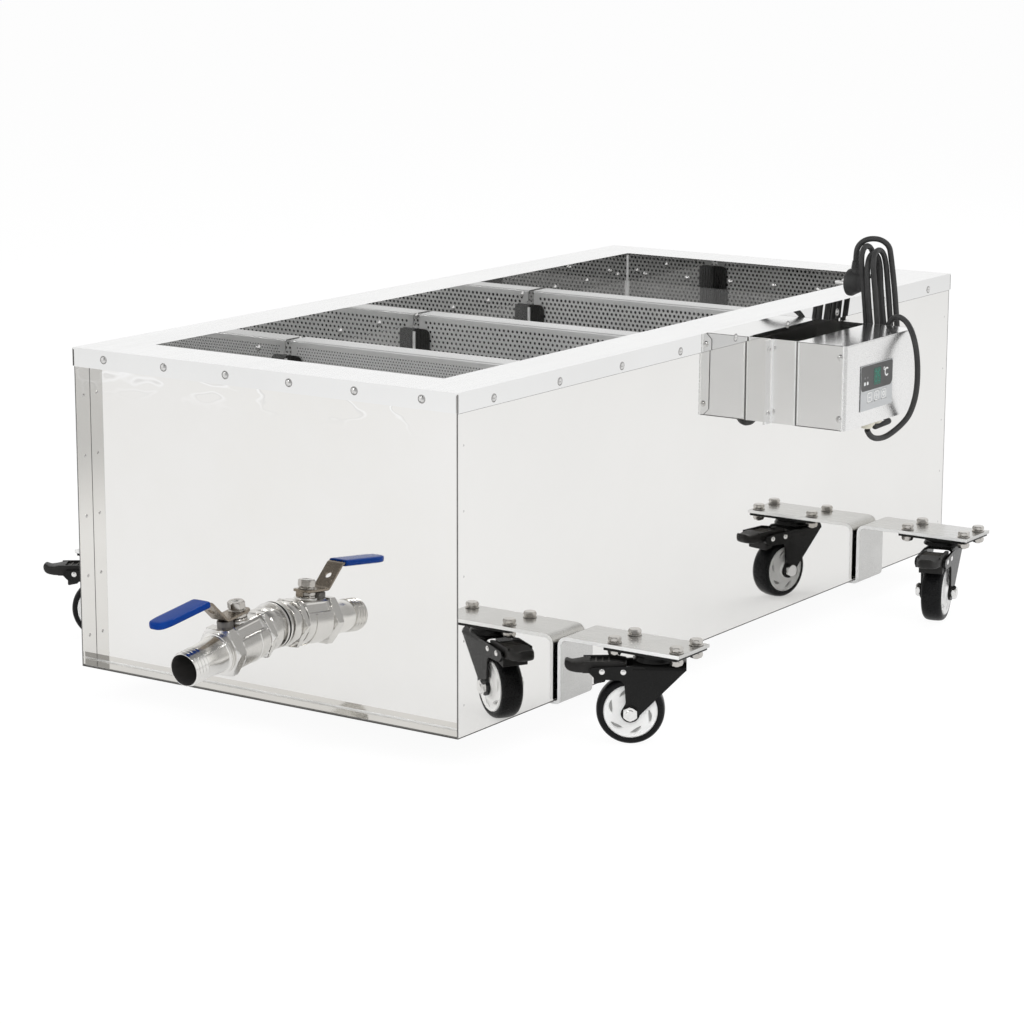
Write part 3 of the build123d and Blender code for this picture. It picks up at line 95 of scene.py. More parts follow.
@dataclass
class Wiring:
    """Adds nodes to a tree, with their inputs set or linked in the same call."""

    tree: Tree

    def fill(self, node: Node, inputs: Inputs) -> Node:
        """Sets or links inputs of a node.

        Args:
            node: The node.
            inputs: A value or a socket for each input, by name or number.
        Returns:
            The same node.
        """
        for name, value in inputs.items():
            if isinstance(value, Socket):
                self.tree.links.new(value, node.inputs[name])
            else:
                node.inputs[name].default_value = value
        return node

    def add(self, kind: str, inputs: Inputs | None = None, **options: object) -> Node:
        """Makes a shader node.

        Args:
            kind: Node type, without its leading words.
            inputs: A value or a socket for each input, by name or number.
            options: The node's own options.
        Returns:
            The node.
        """
        node = self.tree.nodes.new("ShaderNode" + kind)
        for option, choice in options.items():
            setattr(node, option, choice)
        return self.fill(node, inputs or {})

    def math(self, operation: str, first: Socket | float, second: Socket | float = 0.5) -> Socket:
        """Result of a sum on one or two values."""
        return self.add("Math", {0: first, 1: second}, operation=operation).outputs["Value"]

    def spread(
        self, value: Socket, source: Sequence[Socket | float], target: Pair = (0.0, 1.0), soft: bool = False
    ) -> Socket:
        """Carries a value from one range to another, clamped to its ends.

        Args:
            value: The value.
            source: Ends of the range that it comes from.
            target: Ends of the range that it goes to.
            soft: Whether the way between the ends is an S curve.
        Returns:
            The new value.
        """
        names = ("Value", "From Min", "From Max", "To Min", "To Max")
        inputs = dict(zip(names, (value, *source, *target)))
        curve = "SMOOTHSTEP" if soft else "LINEAR"
        return self.add("MapRange", inputs, interpolation_type=curve).outputs["Result"]

    def mix(self, share: Socket, first: object, second: object) -> Socket:
        """Colour that goes from the first to the second with the share."""
        return self.add("Mix", {"Factor": share, "A": first, "B": second}, data_type="RGBA").outputs["Result"]

    def noise(self, place: Socket, scale: Socket | float, detail: float, roughness: float = 0.5) -> Socket:
        """Noise at a place."""
        inputs = {"Vector": place, "Scale": scale, "Detail": detail, "Roughness": roughness}
        return self.add("TexNoise", inputs).outputs["Fac"]

    def toward(self, place: Socket, way: Sequence[float]) -> Socket:
        """How far a place lies along a direction."""
        return self.add("VectorMath", {0: place, 1: way}, operation="DOT_PRODUCT").outputs["Value"]

    def bump(self, height: Socket, distance: float, below: Socket | None = None) -> Socket:
        """Normal bumped by a height times a distance in metres, over the normal below it."""
        inputs = {"Height": height, "Distance": distance}
        return self.add("Bump", inputs | ({"Normal": below} if below else {})).outputs["Normal"]


class Groups:
    """Shader node groups that several finishes share, each built once.

    Noises are given by scale and detail, and painted reflection lines by middle, half width and strength.
    """

    GRAIN = (1.0, 3.0)
    MOTTLE_DETAIL = 5.0
    MOTTLE_ROUGHNESS = 0.6
    MASK_ENDS = (0.3, 0.7)
    WAVE = (3.2, 1.0)
    CREASE = (26.0, 2.0)
    CREASE_SHARE = 0.5
    SWEEP = (11.0, 2.0)
    SWEEP_STRETCH = (1.0, 1.0, 2.6)
    PAINTED_REFLECTIONS = {"Bright": (0.50, 0.020, 1.0), "Dark Reflection": (0.478, 0.014, 0.5)}

    @staticmethod
    def _start(name: str, vectors: Sequence[str], values: Sequence[str], results: Sequence[str]) -> Wiring:
        """An empty group with its sockets.

        Args:
            name: Group name.
            vectors: Names of its vector inputs.
            values: Names of its number inputs.
            results: Names of its number outputs.
        Returns:
            Wiring of a tree that holds only the group's input and output nodes, in this order.
        """
        tree = bpy.data.node_groups.new(name, "ShaderNodeTree")
        sides = (("INPUT", "Vector", vectors), ("INPUT", "Float", values), ("OUTPUT", "Float", results))
        for side, kind, names in sides:
            for label in names:
                tree.interface.new_socket(label, in_out=side, socket_type="NodeSocket" + kind)
        tree.nodes.new("NodeGroupInput")
        tree.nodes.new("NodeGroupOutput")
        return Wiring(tree)

    @classmethod
    @cache
    def surface(cls) -> Tree:
        """Fine grain and broad mottling.

        Returns:
            A group with a Grain Vector, a Place and a Mottle Scale, that puts out Grain and Mottle masks.
        """
        inputs = ("Grain Vector", "Place"), ("Mottle Scale",)
        wiring = cls._start("surface_grain", *inputs, ("Grain", "Mottle"))
        start, end = wiring.tree.nodes
        fine = wiring.noise(start.outputs["Grain Vector"], *cls.GRAIN)
        mottle = (start.outputs["Mottle Scale"], cls.MOTTLE_DETAIL, cls.MOTTLE_ROUGHNESS)
        broad = wiring.noise(start.outputs["Place"], *mottle)
        for label, mask in (("Grain", fine), ("Mottle", broad)):
            wiring.fill(end, {label: wiring.spread(mask, cls.MASK_ENDS)})
        return wiring.tree

    @classmethod
    @cache
    def ripples(cls) -> Tree:
        """Broad waviness of thin sheet, and short ripples in a band under a folded edge, with bright and dark
        reflection lines of the ripples painted along the band.

        Returns:
            A group with a Place and a band's Low and High, that puts out a Height and two masks of painted
            reflection lines.
        """
        inputs = ("Place",), ("Band Low", "Band High")
        wiring = cls._start("sheet_ripples", *inputs, ("Height", *cls.PAINTED_REFLECTIONS))
        start, end = wiring.tree.nodes
        place = start.outputs["Place"]
        level = wiring.add("SeparateXYZ", {"Vector": place}).outputs["Z"]
        band = wiring.spread(level, (start.outputs["Band Low"], start.outputs["Band High"]), soft=True)
        crease = wiring.math("MULTIPLY", wiring.noise(place, *cls.CREASE), band)
        crease = wiring.math("MULTIPLY", crease, cls.CREASE_SHARE)
        wiring.fill(end, {"Height": wiring.math("ADD", wiring.noise(place, *cls.WAVE), crease)})
        drawn = wiring.add("Mapping", {"Vector": place, "Scale": cls.SWEEP_STRETCH}).outputs["Vector"]
        sweep = wiring.noise(drawn, *cls.SWEEP)
        # Painted reflection lines: thin bright and dark lines along the sweep noise, kept to the band
        for label, (middle, half, most) in cls.PAINTED_REFLECTIONS.items():
            away = wiring.math("ABSOLUTE", wiring.math("SUBTRACT", sweep, middle))
            line = wiring.spread(away, (0.0, half), (most, 0.0))
            wiring.fill(end, {label: wiring.math("MULTIPLY", line, band)})
        return wiring.tree


@dataclass(frozen=True)
class Finish:
    """A finish: its colours, its gloss and the grain that breaks them up.

    Roughness runs from smooth to dull with the grain, and colour from main to shade with the mottling.
    Inside a rectangle about the middle and beyond a larger one, given by half sides, it is a mirror.
    Relief, wave, band and both rectangles are in metres.
    """

    name: str
    main: Triple
    shade: Triple
    smooth: float
    dull: float
    metallic: float = 0.0
    grain: Grain = Grain.EVEN
    mottle: float = 60.0
    relief: float = 0.0
    wave: float = 0.0
    band: Pair = (2.0, 3.0)
    glow: float = 0.0
    sheen: float = 0.5
    solid: float = 1.0
    inside: Pair = (0.0, 0.0)
    beyond: Pair = (0.0, 0.0)

    @cache
    def material(self) -> bpy.types.Material:
        """The finish as a node material, made at its first use.

        Returns:
            The material.
        """
        material = bpy.data.materials.new(self.name)
        material.use_nodes = True
        wiring = Wiring(material.node_tree)
        shader = material.node_tree.nodes["Principled BSDF"]
        place = wiring.add("TexCoord").outputs["Object"]
        lines = wiring.add("Mapping", {"Vector": place, "Scale": self.grain.value}).outputs["Vector"]
        inputs = {"Grain Vector": lines, "Place": place, "Mottle Scale": self.mottle}
        masks = wiring.add("Group", inputs, node_tree=Groups.surface()).outputs
        colour = wiring.mix(masks["Mottle"], (*self.main, 1.0), (*self.shade, 1.0))
        rough = wiring.spread(masks["Grain"], (0.0, 1.0), (self.smooth, self.dull))
        normal = None
        if self.inside[0]:
            rough = self._polished(wiring, place, rough)
        if self.glow:
            wiring.fill(shader, {"Emission Color": colour, "Emission Strength": self.glow})
        if self.wave:
            inputs = {"Place": place, "Band Low": self.band[0], "Band High": self.band[1]}
            ripple = wiring.add("Group", inputs, node_tree=Groups.ripples()).outputs
            # Painted reflection: bright and dark ripple lines mixed into the colour in the band
            for label, level in (("Dark Reflection", SHADED_REFLECTION_LEVEL), ("Bright", BRIGHT_REFLECTION_LEVEL)):
                colour = wiring.mix(ripple[label], colour, (level, level, level, 1.0))
            normal = wiring.bump(ripple["Height"], self.wave)
        if self.relief:
            normal = wiring.bump(masks["Grain"], self.relief, normal)
        if normal:
            wiring.fill(shader, {"Normal": normal})
        plain = {"Metallic": self.metallic, "Specular IOR Level": self.sheen, "Alpha": self.solid}
        wiring.fill(shader, {"Base Color": colour, "Roughness": rough, **plain})
        return material

    def _polished(self, wiring: Wiring, place: Socket, rough: Socket) -> Socket:
        """Makes the roughness that of a mirror inside one rectangle and beyond the other.

        Args:
            wiring: Wiring of the material.
            place: The object's coordinates.
            rough: Roughness between the rectangles.
        Returns:
            The roughness.
        """
        spot = wiring.add("SeparateXYZ", {"Vector": place}).outputs
        across = [wiring.math("ABSOLUTE", spot[axis]) for axis in "XY"]
        within = [wiring.math("LESS_THAN", size, half) for size, half in zip(across, self.inside)]
        past = [wiring.math("GREATER_THAN", size, half) for size, half in zip(across, self.beyond)]
        mask = wiring.math("MAXIMUM", wiring.math("MULTIPLY", *within), wiring.math("MAXIMUM", *past))
        return wiring.add("Mix", {"Factor": mask, "A": rough, "B": MIRROR_ROUGHNESS}).outputs["Result"]


# Finishes of the tank's sheets and strainers
MIRROR_SIDE = Finish(
    "mirror_side", (0.90, 0.893, 0.875), (0.875, 0.868, 0.85), 0.006, 0.03, 1.0, Grain.Y, 4.0,
    wave=0.0006,
)
# The band under the front's rim carries painted reflection lines of its ripples
MIRROR_FRONT = Finish(
    "mirror_front", (0.90, 0.893, 0.88), (0.87, 0.86, 0.835), 0.006, 0.03, 1.0, Grain.X, 4.0,
    wave=0.0006, band=(0.345, 0.385),
)
RIM_SATIN = Finish(
    "rim_satin", (0.90, 0.90, 0.895), (0.865, 0.865, 0.86), 0.16, 0.28, 1.0, Grain.Y, 6.0,
    wave=0.0004, inside=(0.2006, 0.5006), beyond=(0.2628, 0.5648),
)
BASE_STEEL = Finish("base_steel", (0.12, 0.115, 0.11), (0.09, 0.087, 0.083), 0.3, 0.45, 1.0, Grain.Y, 9.0)
BASIN_STEEL = Finish(
    "basin_steel", (0.88, 0.877, 0.87), (0.84, 0.837, 0.83), 0.004, 0.012, 0.88, Grain.Z, 5.0
)
# Painted shade: the polished guides get a dark steel colour that stands for the dark they reflect
SHADED_GUIDE_STEEL = Finish("guide_shaded_steel", (0.11, 0.11, 0.108), (0.08, 0.08, 0.078), 0.2, 0.34, 1.0, Grain.Z, 12.0)
SCREEN_STEEL = Finish("screen_steel", (0.82, 0.82, 0.813), (0.76, 0.76, 0.753), 0.28, 0.36, 0.6, Grain.X, 9.0)
FLANGE_STEEL = Finish(
    "flange_steel", (0.62, 0.62, 0.615), (0.55, 0.55, 0.545), 0.26, 0.34, 0.7, Grain.X, 14.0
)
LIP_STEEL = Finish("lip_steel", (0.70, 0.685, 0.655), (0.63, 0.615, 0.585), 0.05, 0.1, 1.0, Grain.X, 12.0)
# Painted highlight: light, partly metallic steel for bright strips along edges, folds and corners
HIGHLIGHT_STEEL = Finish("highlight_steel", (0.95, 0.95, 0.945), (0.90, 0.90, 0.895), 0.28, 0.36, 0.35)
HOLE_SHADE = Finish(
    "hole_shade", (0.06, 0.06, 0.06), (0.045, 0.045, 0.045), 0.6, 0.75, mottle=20.0, sheen=0.1, solid=0.62
)
# Painted shade for dark lines in gaps and grooves
SEAM_SHADE = Finish("seam_shade", (0.16, 0.155, 0.15), (0.11, 0.107, 0.103), 0.5, 0.65, mottle=40.0)
RING_SHADE = Finish("ring_shade", (0.34, 0.335, 0.33), (0.28, 0.276, 0.27), 0.4, 0.55, mottle=90.0)

# Finishes of the fasteners, the valve, the brackets and the control box
RIVET_STEEL = Finish("rivet_steel", (0.74, 0.735, 0.725), (0.64, 0.635, 0.625), 0.10, 0.2, 1.0, mottle=120.0)
BRIGHT_STEEL = Finish(
    "bright_steel", (0.92, 0.915, 0.905), (0.82, 0.815, 0.805), 0.12, 0.24, 1.0, mottle=120.0
)
CAST_STEEL = Finish("cast_steel", (0.79, 0.78, 0.758), (0.75, 0.74, 0.718), 0.23, 0.26, 1.0, mottle=45.0)
TURNED_STEEL = Finish("turned_steel", (0.82, 0.81, 0.79), (0.75, 0.738, 0.715), 0.19, 0.28, 1.0, mottle=40.0)
TAIL_STEEL = Finish("tail_steel", (0.84, 0.828, 0.802), (0.79, 0.778, 0.752), 0.18, 0.22, 1.0, mottle=40.0)
NUT_STEEL = Finish("nut_steel", (0.60, 0.58, 0.55), (0.52, 0.50, 0.475), 0.12, 0.2, 1.0)
DARK_STEEL = Finish("dark_steel", (0.20, 0.19, 0.18), (0.15, 0.143, 0.135), 0.3, 0.42, 1.0)
LEVER_STEEL = Finish("lever_steel", (0.33, 0.286, 0.236), (0.27, 0.232, 0.19), 0.2, 0.3, 1.0, mottle=40.0)
BORE_SHADE = Finish("bore_shade", (0.05, 0.048, 0.046), (0.04, 0.038, 0.036), 0.4, 0.55)
PLATE_STEEL = Finish(
    "plate_steel", (0.66, 0.657, 0.645), (0.59, 0.587, 0.575), 0.18, 0.30, 1.0, Grain.X, 18.0
)
BOX_STEEL = Finish("box_steel", (0.97, 0.968, 0.964), (0.94, 0.938, 0.934), 0.15, 0.2, 1.0, mottle=9.0)
STANDOFF_STEEL = Finish(
    "standoff_steel", (0.95, 0.947, 0.94), (0.92, 0.917, 0.91), 0.15, 0.2, 1.0, mottle=9.0
)
COVER_STEEL = Finish("cover_steel", (0.92, 0.917, 0.91), (0.89, 0.887, 0.88), 0.24, 0.29, 1.0, mottle=9.0)

# Finishes of the paint, plastic, rubber and print
BLACK_PAINT = Finish(
    "black_paint", (0.004, 0.004, 0.004), (0.007, 0.007, 0.0065), 0.2, 0.28, mottle=30.0, sheen=0.22
)
BLACK_NYLON = Finish(
    "black_nylon", (0.012, 0.0115, 0.011), (0.02, 0.019, 0.018), 0.34, 0.5, relief=0.00001, sheen=0.25
)
PEDAL_TREAD = Finish(
    "pedal_tread", (0.05, 0.047, 0.042), (0.075, 0.07, 0.063), 0.34, 0.5, relief=0.00002, sheen=0.3
)
TREAD_RUBBER = Finish(
    "tread_rubber", (0.005, 0.005, 0.0055), (0.009, 0.009, 0.0095), 0.22, 0.36, mottle=70.0,
    relief=0.00001, sheen=0.14,
)
HUB_WHITE = Finish("hub_white", (0.90, 0.90, 0.895), (0.85, 0.85, 0.84), 0.28, 0.42, mottle=40.0)
HUB_SHADE = Finish("hub_shade", (0.33, 0.33, 0.325), (0.28, 0.28, 0.275), 0.4, 0.5, mottle=40.0)
SEAT_WHITE = Finish("seat_plastic", (0.922, 0.922, 0.902), (0.91, 0.91, 0.89), 0.66, 0.74, mottle=40.0)
SEAL_RUBBER = Finish("seal_rubber", (0.02, 0.02, 0.02), (0.035, 0.035, 0.035), 0.5, 0.7)
BLUE_VINYL = Finish(
    "blue_vinyl", (0.004, 0.036, 0.215), (0.006, 0.046, 0.25), 0.16, 0.24, mottle=70.0, relief=0.00001,
    sheen=0.05,
)
CORD_SHEATH = Finish("cord_sheath", (0.022, 0.022, 0.022), (0.036, 0.036, 0.036), 0.42, 0.6, relief=0.00003)
IVORY = Finish("ivory_plastic", (0.80, 0.77, 0.66), (0.74, 0.71, 0.60), 0.3, 0.45, mottle=50.0)
PANEL_GREY = Finish("panel_plastic", (0.549, 0.561, 0.569), (0.544, 0.556, 0.564), 0.68, 0.72)
PANEL_DARK = Finish("panel_dark", (0.085, 0.085, 0.084), (0.095, 0.095, 0.094), 0.34, 0.44, sheen=0.25)
PANEL_INK = Finish("panel_ink", (0.88, 0.88, 0.87), (0.82, 0.82, 0.81), 0.4, 0.5)
PANEL_DIM = Finish("panel_dim", (0.26, 0.26, 0.26), (0.22, 0.22, 0.22), 0.4, 0.5)
WINDOW_DARK = Finish("window_dark", (0.001, 0.075, 0.048), (0.002, 0.09, 0.058), 0.1, 0.16)
DIGIT_GREEN = Finish("digit_green", (0.002, 0.16, 0.105), (0.003, 0.18, 0.12), 0.3, 0.4, glow=0.2)
SILICONE_RED = Finish("silicone_red", (0.40, 0.10, 0.06), (0.34, 0.08, 0.05), 0.4, 0.6, mottle=30.0)
WOOL_BOARD = Finish(
    "wool_board", (0.62, 0.58, 0.40), (0.50, 0.46, 0.30), 0.8, 0.95, grain=Grain.COARSE, relief=0.0004
)


@dataclass
class Skin:
    """A surface: points, and faces as arrays of point numbers, one array for each face size."""

    points: Array
    faces: list[Array]

    @staticmethod
    def grid(points: Array, wrap_rows: bool = False, wrap_columns: bool = False) -> "Skin":
        """Quads between neighbouring rows and columns of a grid of points.

        Args:
            points: Array of rows x columns x 3.
            wrap_rows: Whether the last row joins the first.
            wrap_columns: Whether the last column joins the first.
        Returns:
            The surface.
        """
        rows, columns = points.shape[:2]
        row = np.arange(rows if wrap_rows else rows - 1)
        column = np.arange(columns if wrap_columns else columns - 1)
        row, column = np.meshgrid(row, column, indexing="ij")
        after = (row + 1) % rows * columns
        here = row * columns
        beside = (column + 1) % columns
        quads = np.stack([here + column, here + beside, after + beside, after + column], axis=-1)
        return Skin(points.reshape(-1, 3), [quads.reshape(-1, 4)])

    @staticmethod
    def joined(*skins: "Skin") -> "Skin":
        """Several surfaces as one.

        Args:
            skins: The surfaces.
        Returns:
            One surface with all their points and faces.
        """
        starts = np.cumsum([0] + [len(skin.points) for skin in skins])
        faces = [face + start for skin, start in zip(skins, starts) for face in skin.faces]
        return Skin(np.concatenate([skin.points for skin in skins]), faces)

    def placed(self, matrix: Array) -> "Skin":
        """The surface carried to a placement, a 4 x 4 matrix."""
        return Skin(self.points @ matrix[:3, :3].T + matrix[:3, 3], self.faces)

    def moved(self, by: Triple, turn: Triple = (1.0, 1.0, 1.0)) -> "Skin":
        """The surface with each coordinate times its turn, 1 or -1, and then moved."""
        return Skin(self.points * np.array(turn) + np.array(by), self.faces)

    def piece(
        self, name: str, finish: Finish, body: str, slot: str, replaces: Sequence[str] = (),
        bevel: float = 0.0, crease: float = 35.0,
    ) -> Piece:
        """Makes the surface a piece of the object that rides on a body.

        Args:
            name: Piece name.
            finish: Its finish.
            body: Body that it moves with.
            slot: The record's material slot; not used.
            replaces: CAD nodes that it stands for.
            bevel: Width of rounded edges, or 0.
            crease: Angle in degrees above which an edge stays sharp.
        Returns:
            The piece.
        """
        mesh = bpy.data.meshes.new(name)
        rows = [row for face in self.faces for row in face.tolist()]
        mesh.from_pydata((self.points * MM).tolist(), [], rows)
        shape = bmesh.new()
        shape.from_mesh(mesh)
        bmesh.ops.remove_doubles(shape, verts=shape.verts, dist=WELD)
        bmesh.ops.dissolve_degenerate(shape, edges=shape.edges, dist=SLIVER)
        bmesh.ops.recalc_face_normals(shape, faces=shape.faces)
        shape.to_mesh(mesh)
        shape.free()
        mesh.shade_smooth()
        mesh.set_sharp_from_angle(angle=math.radians(crease))
        piece = bpy.data.objects.new(name, mesh)
        bpy.context.scene.collection.objects.link(piece)
        if bevel:
            rounding = piece.modifiers.new("rounding", "BEVEL")
            rounding.width = bevel * MM
            rounding.segments = 2
            rounding.limit_method = "ANGLE"
            rounding.angle_limit = math.radians(BEVEL_ANGLE)
            rounding.harden_normals = True
        return dress(piece, finish, body, replaces)


def dress(
    piece: Piece, finish: Finish, body: str, replaces: Sequence[str] = ()
) -> Piece:
    """Gives a new piece its finish, body and the nodes that it stands for.

    Args:
        piece: The piece.
        finish: Its finish.
        body: Body that it moves with.
        replaces: CAD nodes that it stands for.
    Returns:
        The same piece.
    """
    piece.data.materials.append(finish.material())
    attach(piece, body)
    if replaces:
        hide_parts(*replaces)
    LOG.info("piece %s on %s", piece.name, body)
    return piece


def placement(origin: Sequence[float], x_axis: Sequence[float], z_axis: Sequence[float]) -> Array:
    """Matrix that carries local X and Z to given directions.

    Args:
        origin: Where the local origin goes.
        x_axis: Where local X points.
        z_axis: Where local Z points.
    Returns:
        A 4 x 4 matrix whose Y axis is Z cross X.
    """
    x = np.asarray(x_axis, float)
    z = np.asarray(z_axis, float)
    x = x / np.linalg.norm(x)
    z = z / np.linalg.norm(z)
    matrix = np.eye(4)
    matrix[:3, 0] = x
    matrix[:3, 1] = np.cross(z, x)
    matrix[:3, 2] = z
    matrix[:3, 3] = origin
    return matrix


# Local XY stands upright, with local Z towards -Y or towards +X
FACING_FRONT = placement((0, 0, 0), (1, 0, 0), (0, -1, 0))
FACING_RIGHT = placement((0, 0, 0), (0, 1, 0), (1, 0, 0))


def lathe(profile: Outline, sides: int = 64, ring: bool = True) -> Skin:
    """A profile of radius and height turned about local Z: (r cos a, r sin a, h).

    Args:
        profile: Radius and height pairs.
        sides: Steps round the axis.
        ring: Whether the profile closes on itself.
    Returns:
        The turned surface.
    """
    line = np.asarray(profile, float)
    angle = np.linspace(0.0, 2.0 * np.pi, sides, endpoint=False)
    points = np.empty((len(line), sides, 3))
    points[..., 0] = line[:, :1] * np.cos(angle)
    points[..., 1] = line[:, :1] * np.sin(angle)
    points[..., 2] = line[:, 1:]
    return Skin.grid(points, wrap_rows=ring, wrap_columns=True)


def rounded(corners: Outline, radii: Radii, steps: int = 5) -> Array:
    """Closed outline whose corners are arcs, each point a slerp between the arc's two ends.

    Args:
        corners: Corner points.
        radii: Radius at each corner, or one for all.
        steps: Points on each arc.
    Returns:
        Points of the outline.
    """
    point = np.asarray(corners, float)
    radius = np.broadcast_to(np.asarray(radii, float), len(point))[:, None]
    back = np.roll(point, 1, axis=0) - point
    ahead = np.roll(point, -1, axis=0) - point
    back /= np.linalg.norm(back, axis=1, keepdims=True)
    ahead /= np.linalg.norm(ahead, axis=1, keepdims=True)
    half = np.arccos(np.clip((back * ahead).sum(1, keepdims=True), -1.0, 1.0)) / 2.0
    bisector = back + ahead
    bisector /= np.maximum(np.linalg.norm(bisector, axis=1, keepdims=True), 1e-9)
    centre = point + bisector * radius / np.sin(half)
    reach = radius / np.tan(half)
    first = point + back * reach - centre
    last = point + ahead * reach - centre
    turn = np.maximum(np.pi - 2.0 * half, 1e-6)[:, None, :]
    share = np.linspace(0.0, 1.0, steps)[None, :, None]
    arc = np.sin((1.0 - share) * turn) * first[:, None] + np.sin(share * turn) * last[:, None]
    return (centre[:, None] + arc / np.sin(turn)).reshape(-1, 2)


def prism(outline: Outline, low: float, high: float) -> Skin:
    """An outline in local XY carried from low to high along local Z, with flat ends.

    Args:
        outline: Points of the outline.
        low: Local Z of one end.
        high: Local Z of the other end.
    Returns:
        The closed surface.
    """
    count = len(outline)
    points = np.empty((2, count, 3))
    points[..., :2] = outline
    points[0, :, 2] = low
    points[1, :, 2] = high
    skin = Skin.grid(points, wrap_columns=True)
    ends = np.stack([np.arange(count)[::-1], np.arange(count) + count])
    return Skin(skin.points, skin.faces + [ends])


def block(first: Triple, second: Triple) -> Skin:
    """A box between two opposite corners, given in either order.

    Args:
        first: One corner.
        second: The other corner.
    Returns:
        The closed box.
    """
    low = np.minimum(first, second)
    high = np.maximum(first, second)
    outline = [(low[0], low[1]), (high[0], low[1]), (high[0], high[1]), (low[0], high[1])]
    return prism(outline, low[2], high[2])


def bore(radius: float, ends: Pair, angle: Array) -> Array:
    """Rings of points of a round hole: a circle at each end.

    Args:
        radius: Radius of the hole.
        ends: Local Z of each ring.
        angle: Angles of the points.
    Returns:
        Array of 2 x points x 3.
    """
    rings = np.empty((2, len(angle), 3))
    rings[..., 0] = radius * np.cos(angle)
    rings[..., 1] = radius * np.sin(angle)
    rings[..., 2] = np.array(ends)[:, None]
    return rings


def hexagon(flats: float, low: float, high: float, hole: float, lead: float = 0.12, sides: int = 96) -> Skin:
    """A chamfered hexagon: radius is the lesser of the hexagon's and of a cone at each end.

    Args:
        flats: Width across flats.
        low: Local Z of one end.
        high: Local Z of the other end.
        hole: Radius of the hole.
        lead: Chamfer's share of the flat's half width.
        sides: Steps round the axis.
    Returns:
        The closed ring.
    """
    half = flats / 2.0
    angle = np.linspace(0.0, 2.0 * np.pi, sides, endpoint=False)
    within = (angle + np.pi / 6.0) % (np.pi / 3.0) - np.pi / 6.0
    cut = np.array([0.0, 0.35, 0.7, 1.0])
    rise = half * lead * cut
    station = np.concatenate([low + rise, (high - rise)[::-1]])[:, None]
    cone = half * (CONE_START + CONE_RISE * np.concatenate([cut, cut[::-1]])[:, None])
    radius = np.minimum(half / np.cos(within), cone)
    height = np.broadcast_to(station, radius.shape)
    outer = np.stack([radius * np.cos(angle), radius * np.sin(angle), height], axis=-1)
    rings = np.concatenate([outer, bore(hole, (high, low), angle)])
    return Skin.grid(rings, wrap_rows=True, wrap_columns=True)


def soft_box(sides: int, power: float) -> Array:
    """Outline of a rounded box: the cosine and the sine, each to a power with its sign kept.

    Args:
        sides: Points on the outline.
        power: The power, 1 for a circle and less for a squarer shape.
    Returns:
        Array of 2 x sides, from -1 to 1.
    """
    turn = np.linspace(0.0, 2.0 * np.pi, sides, endpoint=False)
    ray = np.stack([np.cos(turn), np.sin(turn)])
    return np.sign(ray) * np.abs(ray) ** power


def span_mask(value: Array, span: Pair, edge: float) -> Array:
    """Mask of a span: 0 at its ends and beyond them, and 1 from an edge's width inside them."""
    return np.clip(np.minimum(value - span[0], span[1] - value) / edge, 0.0, 1.0)


def folded_sheet(
    path: Array, across: Sequence[float], thick: float, hole: tuple[int, int] | None = None
) -> Skin:
    """A folded sheet: a path in local XY with its face on the right, carried along local Z.

    Args:
        path: Points of the face's section.
        across: Stations along local Z.
        thick: Thickness, to the left of the path.
        hole: Path segments from the first number to before the second are left out of the middle band.
    Returns:
        The closed sheet.
    """
    run = np.diff(path, axis=0)
    run /= np.linalg.norm(run, axis=1, keepdims=True)
    tangent = np.vstack([run[:1], run[:-1] + run[1:], run[-1:]])
    tangent /= np.linalg.norm(tangent, axis=1, keepdims=True)
    mitre = np.concatenate([[1.0], (run[:-1] * tangent[1:-1]).sum(1), [1.0]])[:, None]
    left = np.stack([-tangent[:, 1], tangent[:, 0]], axis=-1) * thick / mitre
    rows, columns = len(path), len(across)
    points = np.empty((2, rows, columns, 3))
    points[0, ..., :2] = path[:, None]
    points[1, ..., :2] = (path + left)[:, None]
    points[..., 2] = across
    keep = np.ones((rows - 1, columns - 1), bool)
    if hole:
        keep[hole[0]:hole[1], 1] = False
    number = np.arange(2 * rows * columns).reshape(2, rows, columns)
    corners = [number[:, :-1, :-1], number[:, 1:, :-1], number[:, 1:, 1:], number[:, :-1, 1:]]
    cell = np.stack(corners, axis=-1)
    faces = [cell[0][keep], cell[1][keep][:, ::-1]]
    border = np.pad(keep, 1).astype(int)
    edges = (
        (np.diff(border, axis=0)[:, 1:-1], number[:, :, :-1], number[:, :, 1:]),
        (np.diff(border, axis=1)[1:-1], number[:, :-1], number[:, 1:]),
    )
    for change, first, second in edges:
        edge = np.stack([first[0], second[0], second[1], first[1]], axis=-1)
        faces.append(edge[change != 0])
    return Skin(points.reshape(-1, 3), faces)


def bend(centre: Pair, start: float, turn: float, radius: float, steps: int = 6) -> Array:
    """Arc of a fold about its centre, from a start angle through a turn, both in degrees."""
    angle = np.radians(start + np.linspace(0.0, turn, steps))
    return np.asarray(centre) + radius * np.stack([np.cos(angle), np.sin(angle)], axis=-1)


